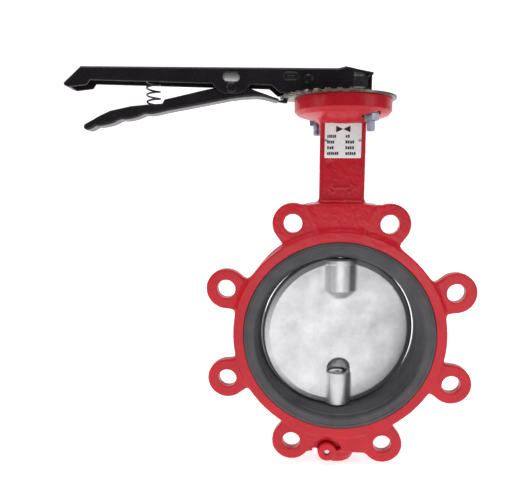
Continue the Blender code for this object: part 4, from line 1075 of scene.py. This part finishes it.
def make_clamp():
    half = HANDLE_HALF - HANDLE_SHEET - GAP
    square = SQUARE_HALF + GAP
    sides = rectangle(CLAMP_FRONT, CLAMP_TAIL, CLAMP_LOW, CLAMP_HIGH)

    def field(x, y, z):
        bar = slab(outline(x, z, sides), y, -half, half, 0.7)
        bar = cut(bar, block(x, y, square, square, 0.3), 0.4)
        bar = cut(bar, slab(np.abs(y) - 1, x, 6, 30), 0.4)
        bar = cut(bar, slab(span(x - PINCH_X, z - CLAMP_MIDDLE) - 3.1, y, 3 - half, 30), 0.5)
        return cut(bar, span(x - RIVET_X, z - CLAMP_MIDDLE) - 3.3, 0.5)

    mesh = field_mesh("clamp_bar", field, [CLAMP_FRONT, -half, CLAMP_LOW],
                      [CLAMP_TAIL, half, CLAMP_HIGH], 0.5, 14000, OPEN_ANGLE)
    new_piece("clamp_bar", mesh, DARK_STEEL, "lever", "zinc", "stem_clamp")
    place = STEM_TURN @ at(PINCH_X, 0, CLAMP_MIDDLE) @ ALONG_Y
    shank = lathe("shank", filleted([(0, half + 1), (2.8, half + 1), (2.8, 3.6 - half),
                                     (0, 3.6 - half)], [0, 0, 0.5, 0]), 32, turn=place)
    head = hex_nut("bolt_head", 10, half + GAP, half + GAP + 4, 0.0, 0.0)
    head.transform(TO_METRES @ place @ TO_METRES.inverted())
    new_piece("pinch_screw", merged("pinch_screw", [shank, head]), STEEL, "lever",
              "bare_steel", "clamp_screw")


def make_pins():
    """Head rivet, pivot pin with its push-on clip, and the stop behind the slot."""
    side = HANDLE_HALF + 0.2
    corners = [(0, side + 1.5), (2.6, side + 1.4), (4.6, side + 0.7), (4.6, side), (3, side)]
    upper = filleted(corners, [0, 1.0, 0.5, 0.1, 0])
    path = upper + [(r, -h) for r, h in reversed(upper)]
    new_piece("cheek_rivet", lathe("cheek_rivet", path, 48,
                                   turn=STEM_TURN @ at(RIVET_X, 0, CLAMP_MIDDLE) @ ALONG_Y),
              ENAMEL, "lever", "black_enamel", "head_rivet")
    corners = [(0, side + 4), (3, side + 4), (3, side + 1.7), (2.3, side + 1.7),
               (2.3, side + 0.1), (3, side + 0.1), (3, -side), (4.8, -side), (4.8, -side - 1),
               (3.4, -side - 1.9), (1.6, -side - 1.9), (1.3, -side - 1.2), (0, -side - 1.1)]
    radii = [0, 0.6, 0.1, 0.1, 0.1, 0.1, 0, 0.2, 0.4, 0.6, 0.3, 0.3, 0]
    pivot = STEM_TURN @ at(PIVOT_X, 0, PIVOT_Z) @ ALONG_Y
    new_piece("trigger_pin", lathe("trigger_pin", filleted(corners, radii, 3), 48, turn=pivot),
              ENAMEL, "lever", "bare_steel", "pivot_pin")
    clip = filleted([(6, side + 1.3), (6, side + 0.3), (2.6, side + 0.3), (2.6, side + 1.5)],
                    [0.4, 0.2, 0.1, 0.3], 3)
    new_piece("push_clip", lathe("push_clip", clip, 40, True, pivot), STEEL, "lever",
              "bare_steel", "pivot_clip")
    low, high = extent("trigger_stop")
    reach = HANDLE_HALF - HANDLE_SHEET - GAP
    sides = rectangle(PIVOT_X - 11.5, PIVOT_X + 11.5, low[2], high[2])
    new_piece("slot_block", prism("slot_block", sides, -reach, reach,
                                  turn=STEM_TURN @ UPRIGHT, bevel=0.6), BLOCK, "lever", "zinc",
              "trigger_stop")


# ---------------------------------------------------------------- trigger and spring

TRIGGER_TIP = -238.5
LOBE_START = -227.6
LOBE_PITCH = 21.7
LOBE_RISE = 2.2
TOOTH_X = -53.6
TOOTH_ROOT = -66.5
TRIGGER_NOSE = -62.5
FLOOR_STATIONS = 80


def trigger_base(x):
    """Underside of the trigger without its finger lobes: a shallow S."""
    points = [(TRIGGER_TIP, 197.2), (-236.5, 195.2), (-233.5, 195), (-226, 197.2), (-219.5, 199.4),
              (-212, 201.4), (-196, 205.6), (-175, 210.3), (-164, 213), (-131, 219.7),
              (-107, 224.7), (-95, 226.5), (-83, 227.4), (-77, 227.1), (-70, 225.6),
              (-64, 223.9), (TOOTH_X, 222.6)]
    return float(np.interp(x, *zip(*points)))


def trigger_floor(x):
    """Underside with lobes for the fingers."""
    lobe = (x - LOBE_START) / LOBE_PITCH
    if not -0.5 < lobe < 2.5:
        return trigger_base(x)
    return trigger_base(x) + LOBE_RISE * (1 - abs(math.sin(math.pi * lobe)) ** 0.7)


def floor_points(start, end, lift=0.0):
    last = FLOOR_STATIONS - 1
    stations = [start + (end - start) * k / last for k in range(FLOOR_STATIONS)]
    return [(x, trigger_floor(x) + lift) for x in stations]


def trigger_side():
    ear = arc((PIVOT_X, PIVOT_Z), EAR_R, 150, 40, 10)
    top = [(TRIGGER_TIP + 0.8, 200.2), (-230.4, 204.3), (-223.3, 208.4), (-214.4, 212.6),
           (-196.7, 216.8), (-180, 218.8), (-168.5, 219.6), (-166.5, 223.2), (-128, 232.8)]
    nose = [(-92, 236), (-84, 232.8), (-76, 230.3), (-68, 227.6), (TRIGGER_NOSE, 226)]
    return top + ear + nose + floor_points(TRIGGER_NOSE, TRIGGER_TIP)


TRIGGER_SIDE = trigger_side()
TRIGGER_HOLLOW = (floor_points(TRIGGER_TIP + 12, TRIGGER_NOSE + 3, 2)
                  + [(TRIGGER_NOSE + 3, 262), (TRIGGER_TIP + 12, 262)])
TOOTH_TOP = extent("notch_plate")[0][2] - 0.4
TRIGGER_HALF = 10.3


def trigger_field(x, y, z):
    shell = slab(outline(x, z, TRIGGER_SIDE), y, -TRIGGER_HALF, TRIGGER_HALF, 1.9)
    hollow = slab(outline(x, z, TRIGGER_HOLLOW), y, -TRIGGER_HALF + 2, TRIGGER_HALF - 2, 0.7)
    shell = cut(shell, hollow, 0.8)
    bend = TOOTH_X - 4
    base = trigger_floor(bend)
    root = trigger_floor(TOOTH_ROOT)
    tooth = [(TOOTH_ROOT, root + 0.2), (bend, base), (TOOTH_X, base),
             (TOOTH_X, TOOTH_TOP), (bend, TOOTH_TOP), (bend, base + 2),
             (TOOTH_ROOT, root + 1.7)]
    shell = join(shell, slab(outline(x, z, tooth), y, -2.3, 2.3, 0.3), 0.6)
    return cut(shell, span(x - PIVOT_X, z - PIVOT_Z) - PIVOT_R - GAP)


def make_trigger():
    mesh = field_mesh("pressed_trigger", trigger_field, [TRIGGER_TIP, -10.5, 194],
                      [TOOTH_X, 10.5, 243], 0.55, 60000, OPEN_ANGLE)
    new_piece("pressed_trigger", mesh, ENAMEL, "trigger", "black_enamel", "trigger")


def make_spring():
    """Round-wire compression spring with a closed turn at each end."""
    low, high = extent("latch_spring")
    wire = 0.85
    radius = 5.9
    bottom = low[2] + wire
    top = high[2] - wire
    turns = 6
    per_turn = 28
    count = turns * per_turn
    x0 = -177
    curve = bpy.data.curves.new("coil", 'CURVE')
    curve.dimensions = '3D'
    curve.bevel_depth = wire * MM
    curve.bevel_resolution = 4
    curve.use_fill_caps = True
    spline = curve.splines.new('POLY')
    spline.points.add(count)
    dead = 0.08
    for i, point in enumerate(spline.points):
        share = i / count
        eased = min(max((share - dead) / (1 - 2 * dead), 0), 1)
        rise = 0.03 * min(share, dead) / dead + 0.94 * eased
        rise += 0.03 * max(share - 1 + dead, 0) / dead
        angle = 2 * math.pi * i / per_turn
        spot = STEM_TURN @ Vector((x0 + radius * math.cos(angle), radius * math.sin(angle),
                                   bottom + (top - bottom) * rise))
        point.co = (*[value * MM for value in spot], 1)
    mesh = evaluated(linked("coil", curve), "coil")
    shape = bmesh.new()
    shape.from_mesh(mesh)
    bmesh.ops.remove_doubles(shape, verts=shape.verts, dist=0.00001)
    bmesh.ops.recalc_face_normals(shape, faces=shape.faces)
    mesh = shaded(mesh_of(shape, "coil"), 50)
    spring = new_piece("coil_spring", mesh, SPRING_STEEL, "lever", "stainless", "latch_spring")
    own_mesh(spring)


def make_plug():
    low, high = extent("bottom_plug")
    radius = high[0]
    corners = [(0, high[2]), (radius - 0.2, high[2]), (radius - 0.2, low[2]), (0, low[2])]
    plug = lathe("blanking_plug", filleted(corners, [0, 0.6, 0.6, 0]), 56)
    socket = prism("socket", hexagon(8), low[2] - 1, low[2] + 4)
    new_piece("blanking_plug", carved(plug, socket), ZINC, "valve", "zinc", "bottom_plug")


def finish_cad_nodes():
    """CAD nodes that stay: each gets its own worked material."""
    finishes = {"lower_bush": BRONZE, "middle_bush": BRONZE, "upper_bush": BRONZE,
                "stem_o_ring_1": RUBBER, "stem_o_ring_2": RUBBER, "thrust_washer": PTFE,
                "lower_shaft_pin": STAINLESS, "stem_circlip": STEEL, "spring_stud": ZINC,
                "spring_seat": ZINC}
    for name, material in finishes.items():
        node = frame["nodes"][name]
        node.data.materials.clear()
        node.data.materials.append(material)


# ---------------------------------------------------------------- floor, light and camera

def stage_material():
    """White paper with painted light and shade: near the object it glows as a painted light, and well
    in front of it its colour falls to near black as painted shade.
    """
    material, tree, shader = shader_of("paper_floor_painted_light")
    place = position(tree, 1.0)
    split = tree.nodes.new("ShaderNodeSeparateXYZ")
    tree.links.new(place, split.inputs["Vector"])
    reach = tree.nodes.new("ShaderNodeMapRange")
    reach.inputs["From Min"].default_value = -1.15
    reach.inputs["From Max"].default_value = -0.35
    tree.links.new(split.outputs["Y"], reach.inputs["Value"])
    painted_light_share = reach.outputs["Result"]
    cloud = noise(tree, place, 9.0, 3)
    paper = tint(tree, cloud, (0.86, 0.86, 0.865), (0.9, 0.9, 0.9))
    # painted shade: the paper's colour falls to near black well in front of the object
    tree.links.new(tint(tree, painted_light_share, (0.05, 0.05, 0.05), paper), shader.inputs["Base Color"])
    shader.inputs["Roughness"].default_value = 0.9
    # painted light: emission makes the paper glow near the object and light the valve's underside,
    # though it is no lamp
    shader.inputs["Emission Color"].default_value = (1, 1, 1, 1)
    glow = tree.nodes.new("ShaderNodeMath")
    glow.operation = 'MULTIPLY'
    glow.inputs[1].default_value = 0.72
    tree.links.new(painted_light_share, glow.inputs[0])
    tree.links.new(glow.outputs[0], shader.inputs["Emission Strength"])
    return material


def make_stage():
    """Pale floor that curves up into a far wall behind the object."""
    floor_z = BOTTOM_Z * MM - 0.0004
    reach = 3.2
    back = 2.2
    radius = 1.2
    profile = [(-3.0, 0.0), (back - radius, 0.0)]
    profile += [(back - radius + radius * math.sin(a), radius - radius * math.cos(a))
                for a in [math.pi / 2 * k / 24 for k in range(1, 25)]]
    profile.append((back, 3.0))
    shape = bmesh.new()
    rows = [[shape.verts.new((side, y, floor_z + z)) for side in (-reach, reach)]
            for y, z in profile]
    for first, second in zip(rows, rows[1:]):
        shape.faces.new([first[0], first[1], second[1], second[0]])
    mesh = mesh_of(shape, "paper_sweep")
    mesh.shade_smooth()
    mesh.materials.append(stage_material())
    sweep = linked("paper_sweep", mesh)


def area_light(name, place, target, size, power):
    data = bpy.data.lights.new(name, 'AREA')
    data.shape = 'RECTANGLE'
    data.size, data.size_y = size
    data.energy = power
    lamp = linked(name, data)
    lamp.location = place
    aim = Vector(target) - Vector(place)
    lamp.rotation_euler = aim.to_track_quat('-Z', 'Y').to_euler()
    lamp.visible_camera = False


def make_lights():
    world = bpy.data.worlds.new("studio")
    world.use_nodes = True
    backdrop = world.node_tree.nodes["Background"]
    backdrop.inputs["Color"].default_value = (0.97, 0.98, 1, 1)
    backdrop.inputs["Strength"].default_value = 0.1
    bpy.context.scene.world = world
    area_light("overhead", (-0.1, -0.35, 1.5), (0, 0, 0.1), (1.5, 1.1), 17)
    area_light("left_front", (-1.5, -0.9, 0.9), (0, 0, 0.1), (0.9, 0.9), 7)
    area_light("right_front", (1.4, -0.8, 0.7), (0, 0, 0.1), (0.7, 0.9), 4)
    area_light("low_front", (0.12, -1.0, -0.1), (0.02, 0, -0.04), (0.9, 0.16), 2.5)


def make_camera():
    data = bpy.data.cameras.new("camera")
    data.sensor_width = 36
    data.lens = 35.23
    data.shift_x = -0.0336
    data.shift_y = 0.0485
    camera = linked("camera", data)
    yaw = Matrix.Rotation(math.radians(3.9), 4, 'Z')
    pitch = Matrix.Rotation(math.radians(-9.4), 4, 'X')
    roll = Matrix.Rotation(math.radians(-0.3), 4, 'Y')
    camera.matrix_world = at(-0.0205, -0.5178, 0.1535) @ yaw @ pitch @ roll @ UPRIGHT
    bpy.context.scene.camera = camera


make_stage()
make_lights()
make_camera()
make_casting()
make_seat()
make_disc()
make_shafts()
make_flange_screws()
make_notch_plate()
make_label()
make_handle()
make_clamp()
make_pins()
make_trigger()
make_spring()
make_plug()
finish_cad_nodes()

bpy.context.scene.view_settings.view_transform = 'Standard'
